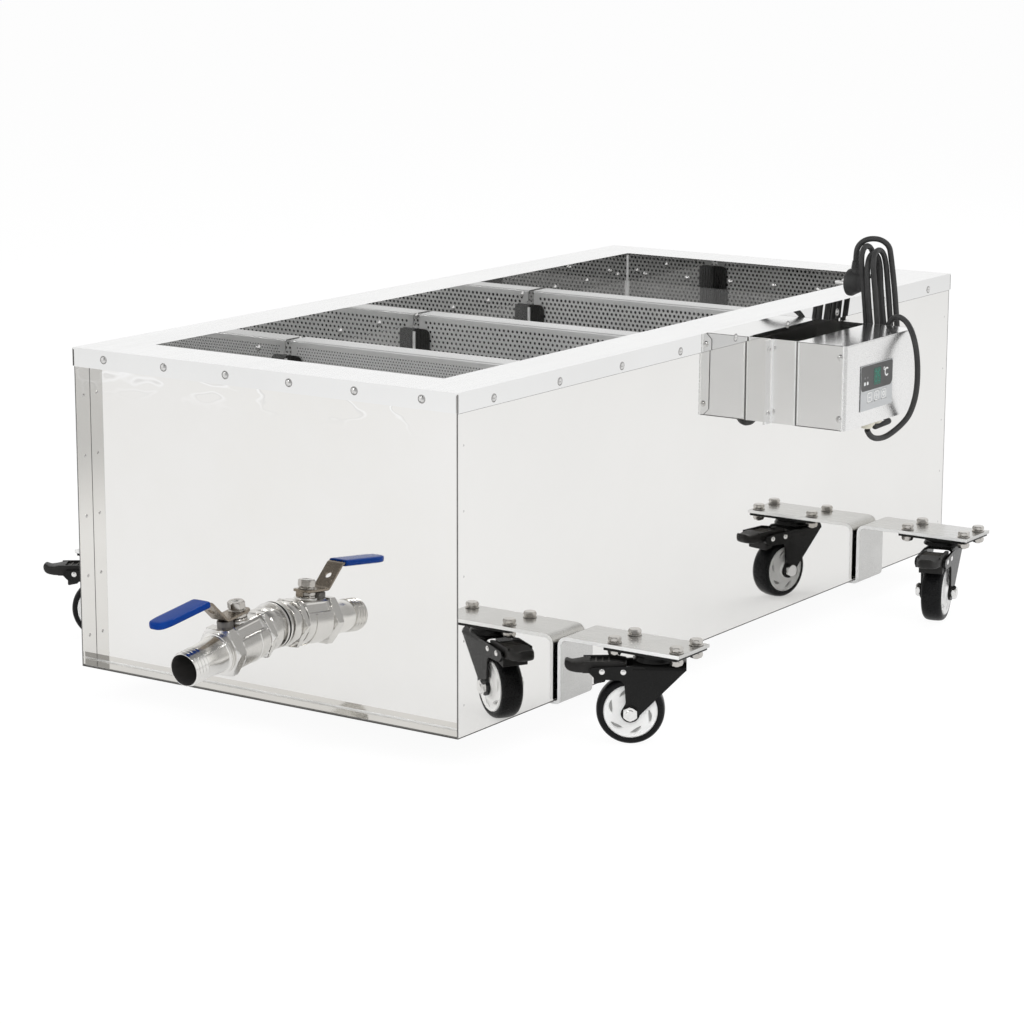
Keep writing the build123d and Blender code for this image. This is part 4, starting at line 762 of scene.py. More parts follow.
@dataclass
class Studio:
    """Pale floor, soft light and the camera at the photograph's view, in metres."""

    eye: Triple = (2.0300, -3.0696, 0.9373)
    aim: Triple = (-0.549, 0.809, -0.2093)
    roll: float = 0.151
    lens: float = 107.0
    sensor: float = 36.0
    view_end: float = 200.0
    floor_half: float = 30.0
    floor_grey: float = 0.86
    floor_white: float = 1.05
    white_share: Pair = (0.90, 0.60)
    dim_side: Triple = (0.85, -0.53, 0.0)
    dim_start: Pair = (0.80, 1.60)
    dim_loss: Pair = (0.12, 0.65)
    ambient: float = 0.42
    dusk: Triple = (0.50, -0.80, 0.32)
    dusk_start: Pair = (0.55, 0.96)
    dusk_level: float = 0.5
    overhead_start: Pair = (0.50, 0.90)
    overhead_level: float = 0.22
    lamp_aim: Triple = (0.0, 0.0, 0.2)

    def build(self) -> None:
        """Makes the camera, the floor, the world and the lamps."""
        self._camera()
        self._floor()
        self._world()
        self._lamp("key", (-2.4, -3.2, 3.6), (2.6, 1.8), 48.0)
        self._lamp("fill", (3.6, -0.6, 2.6), (1.8, 2.4), 46.0)
        self._lamp("front", (1.5, -3.9, 1.9), (2.6, 1.6), 54.0)
        self._lamp("top", (0.3, 0.6, 4.2), (2.4, 3.0), 32.0)
        self._lamp("back", (0.4, 3.6, 2.8), (2.6, 1.6), 40.0)
        self._lamp("spark_right", (1.7, -1.5, 2.5), (0.34, 0.34), 5.0, True)
        self._lamp("spark_left", (-1.1, -2.4, 2.3), (0.34, 0.34), 5.0, True)
        bpy.context.scene.view_settings.view_transform = "Standard"

    def _camera(self) -> None:
        """Camera from its place, its direction and a small roll."""
        ahead = Vector(self.aim).normalized()
        right = ahead.cross(Vector((0.0, 0.0, 1.0))).normalized()
        up = right.cross(ahead)
        turn = Matrix((right, up, -ahead)).transposed()
        spin = Matrix.Rotation(math.radians(self.roll), 3, "Z")
        camera = bpy.data.cameras.new("camera")
        camera.lens = self.lens
        camera.sensor_width = self.sensor
        camera.clip_end = self.view_end
        eye = bpy.data.objects.new("camera", camera)
        eye.matrix_world = Matrix.Translation(self.eye) @ (turn @ spin).to_4x4()
        bpy.context.scene.collection.objects.link(eye)
        bpy.context.scene.camera = eye

    def _floor(self) -> None:
        """White floor that keeps a faint shadow where it is seen, dimmer for metal far out on one side."""
        half = self.floor_half
        mesh = bpy.data.meshes.new("floor")
        corners = [(-half, -half, 0), (half, -half, 0), (half, half, 0), (-half, half, 0)]
        mesh.from_pydata(corners, [], [(0, 1, 2, 3)])
        floor = bpy.data.objects.new("floor", mesh)
        bpy.context.scene.collection.objects.link(floor)
        material = bpy.data.materials.new("floor_white")
        material.use_nodes = True
        material.node_tree.nodes.clear()
        wiring = Wiring(material.node_tree)
        glossy = wiring.add("LightPath").outputs["Is Glossy Ray"]
        reach = wiring.toward(wiring.add("TexCoord").outputs["Object"], self.dim_side)
        loss = wiring.math("MULTIPLY", wiring.spread(reach, self.dim_start, self.dim_loss, soft=True), glossy)
        level = wiring.math("SUBTRACT", self.floor_white, loss)
        matt = wiring.add("BsdfDiffuse", {"Color": (*[self.floor_grey] * 3, 1.0)}).outputs["BSDF"]
        white = wiring.add("Emission", {"Strength": level}).outputs["Emission"]
        share = wiring.spread(glossy, (0.0, 1.0), self.white_share)
        seen = wiring.add("MixShader", {"Fac": share, 1: matt, 2: white}).outputs["Shader"]
        self._switch(wiring, matt, seen, "OutputMaterial")
        mesh.materials.append(material)

    def _world(self) -> None:
        """White surround where it is seen, with a dim side and a dim ceiling for metal to show."""
        world = bpy.data.worlds.new("studio")
        bpy.context.scene.world = world
        world.use_nodes = True
        world.node_tree.nodes.clear()
        wiring = Wiring(world.node_tree)
        way = wiring.add("TexCoord").outputs["Generated"]
        height = wiring.add("SeparateXYZ", {"Vector": way}).outputs["Z"]
        reach = wiring.toward(way, Vector(self.dusk).normalized())
        dusk = wiring.spread(reach, self.dusk_start, (1.0, self.dusk_level), soft=True)
        overhead = wiring.spread(height, self.overhead_start, (1.0, self.overhead_level), soft=True)
        camera = wiring.add("LightPath").outputs["Is Camera Ray"]
        level = wiring.math("MAXIMUM", wiring.math("MULTIPLY", dusk, overhead), camera)
        soft, bright = (
            wiring.add("Background", {"Color": WHITE, "Strength": strength}).outputs["Background"]
            for strength in (self.ambient, level)
        )
        self._switch(wiring, soft, bright, "OutputWorld")

    @staticmethod
    def _switch(wiring: Wiring, hidden: Socket, seen: Socket, end: str) -> None:
        """Ends a tree with one shader for camera, glossy and transmission rays and another for the rest.

        Args:
            wiring: Wiring of the tree.
            hidden: Shader for the other rays.
            seen: Shader for the rays that show it.
            end: Type of the output node.
        """
        path = wiring.add("LightPath").outputs
        shown = wiring.math("MAXIMUM", path["Is Camera Ray"], path["Is Glossy Ray"])
        shown = wiring.math("MAXIMUM", shown, path["Is Transmission Ray"])
        switch = wiring.add("MixShader", {"Fac": shown, 1: hidden, 2: seen})
        wiring.add(end, {"Surface": switch.outputs["Shader"]})

    def _lamp(self, name: str, place: Triple, size: Pair, power: float, shown: bool = False) -> None:
        """A rectangular lamp that faces the tank.

        Args:
            name: Lamp name.
            place: Where it stands.
            size: Its width and height.
            power: Watts.
            shown: Whether shiny surfaces show it.
        """
        lamp = bpy.data.lights.new(name, "AREA")
        lamp.shape = "RECTANGLE"
        lamp.size, lamp.size_y = size
        lamp.energy = power
        holder = bpy.data.objects.new(name, lamp)
        turn = (Vector(self.lamp_aim) - Vector(place)).to_track_quat("-Z", "Y")
        holder.matrix_world = Matrix.Translation(place) @ turn.to_matrix().to_4x4()
        holder.visible_glossy = shown
        bpy.context.scene.collection.objects.link(holder)


@dataclass
class MainsCord:
    """Cord from the gland, round the box and up into an upright hank, with its plug on the rim."""

    diameter: float = 7.1
    length: float = 1.55
    left: float = 272.5
    bend: float = 21.2
    base: float = 334.0
    top: float = 470.0
    first_base: float = 314.0
    layer: float = 292.0
    layer_step: float = 4.0
    lead_layers: float = 7.0
    lean: float = 0.11
    turns: int = 3
    splay: Triple = (2.0, -3.0, 1.0)
    slump: Triple = (0.0, 9.0, 4.0)
    run_inset: float = 2.4
    last_spread: Pair = (1.5, 3.0)
    plug_x: float = 266.0
    plug_y: float = 291.0
    plug_z: float = 423.8
    plug_face: float = 257.0
    pin_half: float = 9.5
    cord_z: float = 451.0

    @staticmethod
    def lead() -> Array:
        """Route of the free lead.

        Returns:
            Points from the gland to the first loop.
        """
        return np.array([
            (352.0, 167.6, 264.8), (352.1, 171.5, 259.4), (352.4, 182.5, 252.6), (353.5, 197.5, 249.7),
            (355.5, 212.5, 250.4), (359.2, 224.8, 255.5), (364.7, 232.8, 262.6), (372.5, 236.2, 273.3),
            (380.0, 233.7, 289.2), (385.0, 230.8, 306.6), (387.0, 228.7, 326.0), (385.0, 230.8, 344.4),
            (379.5, 236.0, 362.0), (370.0, 243.6, 377.5), (357.0, 252.0, 389.0), (338.5, 262.0, 392.0),
            (323.5, 271.5, 380.0), (320.0, 272.5, 362.0), (320.0, 272.5, 345.0),
        ])

    def _end(self, layers: Pair, edge: float, rising: bool, spread: float = 0.0) -> Array:
        """Four points round one end of a loop, on the octagon about its half circle.

        Args:
            layers: Layer at the start and at the end of the half circle.
            edge: Height of the loop's lowest or highest line.
            rising: Whether this is the lower end, after which the cord goes up.
            spread: How much further out the last point stands.
        Returns:
            The points.
        """
        inset = math.tan(math.pi / 8.0)
        sign = 1.0 if rising else -1.0
        z = edge + np.array([1.0 - inset, 0.0, 0.0, 1.0 - inset]) * self.bend * sign
        y = self.left + self.bend + np.array([-1.0, -inset, inset, 1.0]) * self.bend * sign
        y[-1] += spread
        layer = np.linspace(layers[0], layers[1], 4)
        return np.stack([layer - self.lean * (z - self.base), y, z], axis=-1)

    def _run(self, layer: float, right: bool, spread: float) -> Array:
        """Two points on a straight side of a loop.

        Args:
            layer: Layer of the side.
            right: Whether this is the right side, on which the cord goes up.
            spread: How much further out the side stands.
        Returns:
            The points, in the cord's order.
        """
        low = self.base + self.run_inset * self.bend
        high = self.top - self.run_inset * self.bend
        z = np.array([low, high] if right else [high, low])
        y = np.full(2, self.left + (2.0 * self.bend if right else 0.0) + spread)
        return np.stack([layer - self.lean * (z - self.base), y, z], axis=-1)

    def hank(self) -> Array:
        """Route of the hank: up on the right, down on the left, a layer out each time.

        Returns:
            Points from the lead's end to the plug.
        """
        before = self.layer + self.lead_layers * self.layer_step
        edge = self.first_base
        parts = []
        for turn in range(self.turns):
            rising = self.layer + 2 * turn * self.layer_step
            falling = rising + self.layer_step
            parts.append(self._end((before, rising), edge, True))
            parts.append(self._run(rising, True, self.splay[turn]))
            parts.append(self._end((rising, falling), self.top - self.slump[turn], False))
            parts.append(self._run(falling, False, self.splay[turn]))
            before = falling
            edge = self.base
        last = self.layer + 2 * self.turns * self.layer_step
        parts.append(self._end((before, last), edge, True, self.last_spread[0]))
        parts.append(self._run(last, True, self.last_spread[1]))
        parts.append(np.array([
            (301.0, 317.5, 456.0), (299.0, 316.0, 470.0), (289.5, 308.5, 478.5), (276.0, 298.5, 478.5),
            (267.5, 292.2, 470.0), (self.plug_x, self.plug_y, 459.0),
            (self.plug_x, self.plug_y, self.cord_z),
        ]))
        return np.concatenate(parts)

    def build(self) -> None:
        """Makes the cord as one smooth spline, with its plug."""
        route = np.concatenate([self.lead(), self.hank()]) * MM
        curve = bpy.data.curves.new("mains_cord", "CURVE")
        curve.dimensions = "3D"
        spline = curve.splines.new("NURBS")
        spline.points.add(len(route) - 1)
        spline.points.foreach_set("co", np.c_[route, np.ones(len(route))].ravel())
        spline.order_u = 3
        spline.use_endpoint_u = True
        spline.resolution_u = 6
        curve.bevel_depth = self.diameter * MM / 2.0
        curve.bevel_resolution = 4
        curve.use_fill_caps = True
        cord = bpy.data.objects.new("mains_cord", curve)
        bpy.context.scene.collection.objects.link(cord)
        dress(cord, CORD_SHEATH, "tank", ("cord_lead", "cord_hank"))
        plug = self._plug()

    def _plug(self) -> Piece:
        """Moulded plug: a disc, a domed back, a ribbed boss for the cord and two round pins.

        Returns:
            The plug.
        """
        face = placement((self.plug_face, self.plug_y, self.plug_z), (0, 0, 1), (1, 0, 0))
        shell = [
            (0, 0), (15.4, 0), (16.6, 0.8), (17.0, 2.0), (17.0, 5.4), (16.4, 6.8), (15.0, 9.0),
            (13.4, 12.6), (11.8, 16.0), (9.6, 17.6), (6.0, 18.0), (0, 18.0),
        ]
        body = lathe(shell, 48, ring=False).placed(face)
        height = self.cord_z - self.plug_z
        rib = np.arange(4)[:, None] * 2.6 + np.array([0.0, 0.5, 1.9, 2.4])
        width = 6.4 - (rib / rib.max()) * 1.5 + np.array([0.0, -0.7, -0.7, 0.0])
        stack = np.stack([width.ravel(), height - 10.4 + rib.ravel()], axis=-1)
        base = np.array([(0, 0), (7.2, 0), (7.0, height - 12.0), (6.4, height - 10.8)])
        tip = np.array([(4.75, height), (0, height)])
        boss = lathe(np.concatenate([base, stack, tip]), 32, ring=False)
        boss = boss.moved((self.plug_x, self.plug_y, self.plug_z))
        pin = lathe([(0, 0), (2.4, 0), (2.4, -12.4), (1.9, -13.6), (0, -14.0)], 24, ring=False).placed(face)
        pins = [pin.moved((0.0, sign * self.pin_half, 0.0)) for sign in SIGNS]
        Skin.joined(*pins).piece("plug_pins", BRIGHT_STEEL, "tank", "cord_black")
        return Skin.joined(body, boss).piece("mains_plug", CORD_SHEATH, "tank", "cord_black", ("cord_plug",))


@dataclass
class Outriggers:
    """Bent plates that carry the castors: under the tank, up beside its wall and out over the wheels."""

    axes: Sequence[Pair]
    wall: float = 262.0
    gap: float = 3.0
    plate: float = 4.0
    under: float = 33.0
    over: float = 106.5
    width: float = 65.0
    end: float = 49.0
    tuck: float = 60.0
    low_bend: float = 6.5
    high_bend: float = 7.0
    edge_depth: float = 0.5
    edge_rise: float = 0.06

    def _plate(self, reach: float, span: Pair) -> Skin:
        """One plate on the right-hand wall, about Y zero.

        Args:
            reach: Distance of its outer end from the tank's middle.
            span: Its two sides.
        Returns:
            The plate.
        """
        face = self.wall + self.gap + self.plate
        path = np.concatenate([
            [(self.wall - self.tuck, self.under)],
            bend((face - self.low_bend, self.under + self.low_bend), -90.0, 90.0, self.low_bend),
            bend((face + self.high_bend, self.over - self.high_bend), 180.0, -90.0, self.high_bend),
            [(reach, self.over)],
        ])
        return folded_sheet(path, span, self.plate).placed(FACING_FRONT)

    def build(self) -> None:
        """Makes the four plates as one piece, and painted highlights along their sheared edges."""
        half = self.width / 2.0
        inner, outer = half - self.edge_depth, half + self.edge_rise
        plates = []
        edges = []
        for x, y in self.axes:
            reach = abs(x) + self.end
            where = ((0.0, y, 0.0), (math.copysign(1.0, x), 1.0, 1.0))
            plates.append(self._plate(reach, (-half, half)).moved(*where))
            # Painted highlight: thin light strips along both sides of each plate
            for span in ((inner, outer), (-outer, -inner)):
                edges.append(self._plate(reach, span).moved(*where))
        Skin.joined(*plates).piece(
            "outrigger_plates", PLATE_STEEL, "tank", "bracket_steel", ("outrigger_brackets",), bevel=0.8
        )
        Skin.joined(*edges).piece("outrigger_edge_highlights", HIGHLIGHT_STEEL, "tank", "bracket_steel", bevel=0.2)


@dataclass
class Seams:
    """Thin lines where sheets meet: painted shade lines, painted shade rings round rivets, painted highlights
    and the lips' strips.
    """

    half_width: float = 262.0
    half_length: float = 564.0
    sheet: float = 1.2
    recess: float = 22.0
    low: float = 37.0
    rim_low: float = 383.5
    thick: float = 0.12
    line: float = 0.7
    brim: Pair = (0.2, 1.25)
    brim_rise: Pair = (0.5, 20.0)
    side_rivets: tuple[int, float, float] = (9, 125.0, 391.0)
    end_rivets: tuple[int, float, float] = (6, 87.0, 394.5)
    guides: Triple = (-259.0, 0.0, 259.0)
    basin: Pair = (200.0, 500.0)
    highlight_low: float = 90.0
    guide_highlight: Triple = (3.15, 4.7, 1.6)
    guide_top: float = 358.0
    corner_highlight: Pair = (0.8, -2.3)
    corner_top: float = 402.0
    foot_highlight: Pair = (1.0, 1.4)
    lip: Triple = (0.2, 0.6, 0.15)

    def build(self) -> None:
        """Makes painted shade lines along the rim, at the upright corners and in the corners of the recesses.
        """
        wide, long, top = self.half_width, self.half_length, self.rim_low
        fold = wide - 2.0 * self.sheet
        near, far = self.brim
        skins = []
        # Painted shade: dark strips in the gaps under the rim, at the upright corners and in the recesses'
        # corners
        for sign in SIGNS:
            face = sign * (wide + self.thick)
            skins.append(block((sign * wide, -long, top - self.line), (face, long, top)))
            for end in SIGNS:
                tip = end * (long + self.thick)
                back = end * (long - self.recess)
                skins += [
                    block((sign * wide, end * (long - self.line), self.low), (face, tip, top)),
                    block((sign * wide, end * long, self.low), (sign * (wide - self.sheet), tip, top)),
                    block(
                        (sign * (wide + near), end * (long + near), top + self.brim_rise[0]),
                        (sign * (wide + far), end * (long + far), top + self.brim_rise[1]),
                    ),
                    block(
                        (sign * fold, back, self.low + 2.0 * self.sheet),
                        (sign * (fold - 0.6 * self.line), back + end * self.thick, top),
                    ),
                ]
        Skin.joined(*skins).piece("sheet_seam_shade", SEAM_SHADE, "tank", "polished_sheet")
        self._rings()
        self._beads()

    def _rings(self) -> None:
        """Painted shade: a dark ring round the foot of each rivet of the rim."""
        ring = lathe([(3.9, -0.2), (4.9, -0.2), (4.75, 0.12), (3.9, 0.5)], 24)
        skins = []
        for sign in SIGNS:
            count, pitch, height = self.side_rivets
            for y in (np.arange(count) - (count - 1) / 2.0) * pitch:
                seat = (sign * (self.half_width + self.sheet), y, height)
                skins.append(ring.placed(placement(seat, (0, 0, 1), (sign, 0, 0))))
            count, pitch, height = self.end_rivets
            for x in (np.arange(count) - (count - 1) / 2.0) * pitch:
                seat = (x, sign * (self.half_length + self.sheet), height)
                skins.append(ring.placed(placement(seat, (0, 0, 1), (0, sign, 0))))
        Skin.joined(*skins).piece("rivet_shade_rings", RING_SHADE, "tank", "rim_sheet")

    def _beads(self) -> None:
        """Painted highlights by the guides, in the basin's corners and under the recesses, and the lips'
        strips.
        """
        wide, long = self.basin
        near, far, deep = self.guide_highlight
        low = self.highlight_low
        # Painted highlight: thin bright strips in place of glints on edges and corners
        skins = []
        for sign in SIGNS:
            inner = sign * (wide - deep)
            for y in self.guides:
                skins.append(block((sign * wide, y - far, low), (inner, y - near, self.guide_top)))
            for end in SIGNS:
                ends = [(sign * (wide + grow), end * (long + grow)) for grow in self.corner_highlight]
                skins.append(block((*ends[0], low), (*ends[1], self.corner_top)))
        half = self.half_width - 2.0 * self.sheet
        foot = self.low + 2.0 * self.sheet
        deep, tall = self.foot_highlight
        for end in SIGNS:
            back = end * (self.half_length - self.recess)
            skins.append(block((-half, back, foot), (half, back + end * deep, foot + tall)))
        Skin.joined(*skins).piece("corner_highlights", HIGHLIGHT_STEEL, "tank", "basin_sheet")
        inset, edge, thick = self.lip
        inner = self.half_length - self.recess + inset
        outer = self.half_length - edge
        strips = [block((-half, end * inner, foot), (half, end * outer, foot + thick)) for end in SIGNS]
        Skin.joined(*strips).piece("lip_strips", LIP_STEEL, "tank", "polished_sheet")


@dataclass
class PlateBolts:
    """Bolts that hold the castor plates under the brackets, with washers above and nuts below."""

    axes: Sequence[Pair]
    reach: Pair = (39.0, 20.5)
    top: float = 110.5
    under: float = 103.5
    flats: float = 13.0
    washer: float = 1.6
    head: float = 5.3
    nut: float = 6.5
    tip: float = 95.5

    def build(self) -> None:
        """Makes all the bolts as one piece: washers, chamfered heads, shanks and nuts."""
        seat = self.top + self.washer
        low = self.under
        washer = [(0.0, 0.0), (7.3, 0.0), (8.0, 0.5), (8.0, 1.1), (7.3, self.washer), (0.0, self.washer)]
        shank = [(0.0, low), (4.0, low), (4.0, self.tip + 0.8), (3.2, self.tip), (0.0, self.tip)]
        bolt = Skin.joined(
            lathe(washer, 32, ring=False).moved((0.0, 0.0, self.top)),
            hexagon(self.flats, seat, seat + self.head, 0.0, 0.34, 48),
            hexagon(self.flats, low - self.nut, low, 0.0, 0.34, 48),
            lathe(shank, 24, ring=False),
        )
        across, along = self.reach
        seats = [(x + i * across, y + j * along, 0.0) for x, y in self.axes for i in SIGNS for j in SIGNS]
        bolts = [bolt.moved(seat) for seat in seats]
        Skin.joined(*bolts).piece("plate_bolts", NUT_STEEL, "tank", "fasteners", ("castor_bolts",))


@dataclass
class Castor:
    """A braked castor, in its own frame: local X along the trail, local Y across, Z up."""

    corner: str
    x: float
    y: float
    yaw: float
    trail: float = 26.0
    radius: float = 37.5
    hub_radius: float = 29.5
    hub_half: float = 12.2
    boss_hole: float = 5.2
    boss_half: float = 16.2
    pocket_count: int = 6
    pocket_ring: float = 22.0
    pocket_reach: float = 7.6
    pocket_slant: float = 0.30
    pocket_turn: float = 0.3
    pocket_half: float = 2.2
    pocket_edge: float = 0.6
    pocket_depth: float = 3.0
    pocket_floor: Pair = (9.4, 10.6)
    hub_face: float = 13.6
    dish: float = 0.8
    crown: float = 93.5
    inner: float = 16.5
    plate: float = 3.0
    shoulder: float = 8.0
    pin_height: float = 83.1
    pin_along: float = 34.0
    rivet: Pair = (3.4, 1.4)

    def place(self) -> Array:
        """The castor's placement."""
        turn = math.radians(self.yaw)
        return placement((self.x, self.y, 0.0), (math.cos(turn), math.sin(turn), 0), (0, 0, 1))

    def upright(self, along: float = 0.0, across: float = 0.0, rise: float = 0.0) -> Array:
        """Placement whose local XY is the castor's upright plane, with local Z towards minus Y."""
        return self.place() @ placement((along, across, rise), (1, 0, 0), (0, -1, 0))

    def _add(
        self, skin: Skin, part: str, finish: Finish, body: str, slot: str, node: str = "", **edges: float
    ) -> None:
        """Makes a piece whose name, body and node end in the castor's corner."""
        nodes = (f"{node}_{self.corner}",) if node else ()
        skin.piece(f"{part}_{self.corner}", finish, f"{body}_{self.corner}", slot, nodes, **edges)

    def build(self) -> None:
        """Makes the wheel, fork, axle and pedal."""
        self._tread()
        self._hub()
        self._pockets()
        self._fork()
        self._axle()
        self._pedal()

    def _wheel_place(self) -> Array:
        """Placement of the wheel's centre, with local Z along the axle."""
        return self.upright(self.trail, 0.0, self.radius)

    def _tread(self) -> None:
        """Crowned tread with round shoulders, moulded round the hub."""
        half = np.array([(29.5, 12.4), (31.5, 13.0), (33.6, 12.6), (35.4, 11.2), (36.7, 9.0), (37.3, 5.5)])
        profile = np.concatenate([half * (1.0, -1.0), [(self.radius, 0.0)], half[::-1]])
        tread = lathe(profile, 96).placed(self._wheel_place())
        self._add(tread, "tread", TREAD_RUBBER, "roller", "wheel_plastic", "wheel", crease=50.0)

    def _hub(self) -> None:
        """Hub faces on a polar grid, sunk where slim lens-shaped pockets lie, joined by a boss and a rim."""
        middle = np.linspace(12.0, 28.2, 34)
        rings = np.concatenate([[self.boss_hole, 8.6, 9.4, 11.0], middle, [self.hub_radius]])
        angle = np.linspace(0.0, 2.0 * np.pi, 216, endpoint=False)
        r, a = np.meshgrid(rings, angle, indexing="ij")
        step = 2.0 * np.pi / self.pocket_count
        along = self.pocket_ring * ((a + self.pocket_turn) % step - step / 2.0)
        off = (r - self.pocket_ring) - self.pocket_slant * along
        reach = np.clip(1.0 - (along / self.pocket_reach) ** 2, 0.0, 1.0)
        depth = np.clip((self.pocket_half * reach - np.abs(off)) / self.pocket_edge, 0.0, 1.0)
        slope = np.clip((r - 12.0) / 4.0, 0.0, 1.0) * np.clip((29.0 - r) / 3.0, 0.0, 1.0)
        height = self.hub_face - self.dish * slope - self.pocket_depth * depth
        height = np.where(r < 11.0, self.boss_half, height)
        height = np.where(r > 28.6, self.hub_half, height)
        skins = []
        for sign in SIGNS:
            points = np.stack([r * np.cos(a), r * np.sin(a), sign * height], axis=-1)
            skins.append(Skin.grid(points, wrap_columns=True))
        for edge, half in ((self.hub_radius, self.hub_half), (self.boss_hole, self.boss_half)):
            skins.append(lathe([(edge, -half), (edge, half)], 216, ring=False))
        hub = Skin.joined(*skins).placed(self._wheel_place())
        self._add(hub, "hub", HUB_WHITE, "roller", "wheel_plastic", crease=50.0)

    def _pockets(self) -> None:
        """Shaded floors of the hub's pockets: lens outlines bent round the pockets' ring."""
        turn = np.linspace(-7.4, 7.4, 15)
        half = 1.9 * (1.0 - (turn / self.pocket_reach) ** 2)
        along = np.concatenate([turn, turn[::-1]])
        off = np.concatenate([half, -half[::-1]])
        reach = self.pocket_ring + self.pocket_slant * along + off
        skins = []
        for index in range(self.pocket_count):
            middle = (index + 0.5) * 2.0 * np.pi / self.pocket_count - self.pocket_turn
            arc = middle + along / self.pocket_ring
            outline = np.stack([reach * np.cos(arc), reach * np.sin(arc)], axis=-1)
            low, high = self.pocket_floor
            skins += [prism(outline, low, high), prism(outline, -high, -low)]
        floors = Skin.joined(*skins).placed(self._wheel_place())
        self._add(floors, "hub_pockets", HUB_SHADE, "roller", "wheel_plastic")

    def _leg(self) -> Array:
        """Outline of a fork leg: shoulder, wing for the pedal, edge beside the wheel and axle eye.

        Returns:
            Points along the trail and up.
        """
        eye = bend((self.trail, self.radius), -6.0, -154.0, 10.5, 15)
        corners = [
            (-34.0, 86.2), (8.0, 86.2), (13.0, 89.6), (27.0, 89.5), (68.0, 87.5), (72.0, 82.5),
            (64.0, 74.5), (33.0, 73.5), (31.0, 48.0), (36.5, 38.5),
        ]
        top = rounded(corners, [0.6, 2.0, 2.0, 8.0, 4.0, 3.0, 5.0, 7.0, 8.0, 0.2])
        return np.concatenate([top, eye, [(15.5, 35.5), (-33.4, 85.6)]])

    def _saddle(self) -> Skin:
        """Crown with round shoulders, bent down to meet both legs.

        Returns:
            The crown.
        """
        inset = self.inner + self.plate + 0.15 - self.shoulder
        drop = self.crown - self.shoulder
        path = np.concatenate([
            bend((inset, drop), 0.0, 90.0, self.shoulder, 9),
            bend((-inset, drop), 90.0, 90.0, self.shoulder, 9),
        ])
        return folded_sheet(path, (-34.0, 12.0, 24.0), self.plate).placed(self.place() @ FACING_RIGHT)

    def _fork(self) -> None:
        """Pressed fork: two legs, round-shouldered crown, raised race cup and bright wing rivets."""
        outer = self.inner + self.plate
        leg = prism(self._leg(), 0.0, self.plate)
        legs = [leg.placed(self.upright(across=across)) for across in (-self.inner, outer)]
        self._add(Skin.joined(*legs), "fork_plates", BLACK_PAINT, "castor", "black_steel", "fork", bevel=1.0)
        cup = lathe([
            (18.3, 93.4), (23.6, 93.4), (23.6, 94.6), (22.4, 96.6), (22.2, 98.2), (23.0, 99.6), (22.6, 101.2),
            (18.3, 101.4),
        ])
        crown = Skin.joined(cup.placed(self.place()), self._saddle())
        self._add(crown, "crown", BLACK_PAINT, "castor", "black_steel")
        turn = np.linspace(0.0, np.pi / 2.0, 6)
        dome = np.array(self.rivet) * np.stack([np.cos(turn), np.sin(turn)], axis=-1)
        heads = []
        for along in (self.pin_along, 57.0):
            for sign in SIGNS:
                seat = placement((along, sign * outer, self.pin_height), (1, 0, 0), (0, sign, 0))
                heads.append(lathe(dome, 24, ring=False).placed(self.place() @ seat))
        self._add(Skin.joined(*heads), "wing_rivets", BRIGHT_STEEL, "castor", "fasteners")

    def _axle(self) -> None:
        """Axle bolt: chamfered head and nut outside the legs, and the shank between them."""
        outer = self.inner + self.plate
        head = hexagon(15.0, outer, outer + 6.0, 0.0, 0.3)
        nut = hexagon(15.0, -outer - 6.0, -outer, 0.0, 0.3)
        shank = lathe([(0, -26.5), (4.4, -26.5), (5.0, -25.8), (5.0, outer), (0, outer)], 32, ring=False)
        bolt = Skin.joined(head, nut, shank).placed(self._wheel_place())
        self._add(bolt, "axle_bolt", BRIGHT_STEEL, "castor", "fasteners", "axle")

    def _foot(self) -> Skin:
        """Foot of the pedal: rounded-box sections along the trail that narrow to a hooked lip.

        Returns:
            The foot.
        """
        along = np.array([70.0, 76.0, 84.0, 90.0, 93.5, 95.5, 97.2, 98.0])
        top = np.array([92.9, 92.6, 91.0, 90.4, 91.8, 92.8, 92.2, 90.0])
        low = np.array([79.8, 79.2, 79.2, 79.8, 80.6, 81.8, 84.0, 86.6])
        half = np.array([15.0, 15.6, 14.0, 11.6, 9.8, 8.6, 7.2, 5.8])
        count = 32
        wide, tall = soft_box(count, 0.45)
        points = np.empty((len(along), count, 3))
        points[..., 0] = along[:, None]
        points[..., 1] = half[:, None] * wide
        points[..., 2] = (top + low)[:, None] / 2.0 + (top - low)[:, None] / 2.0 * tall
        skin = Skin.grid(points, wrap_columns=True)
        ends = np.stack([np.arange(count), np.arange(count) + (len(along) - 1) * count])
        return Skin(skin.points, skin.faces + [ends]).placed(self.place())

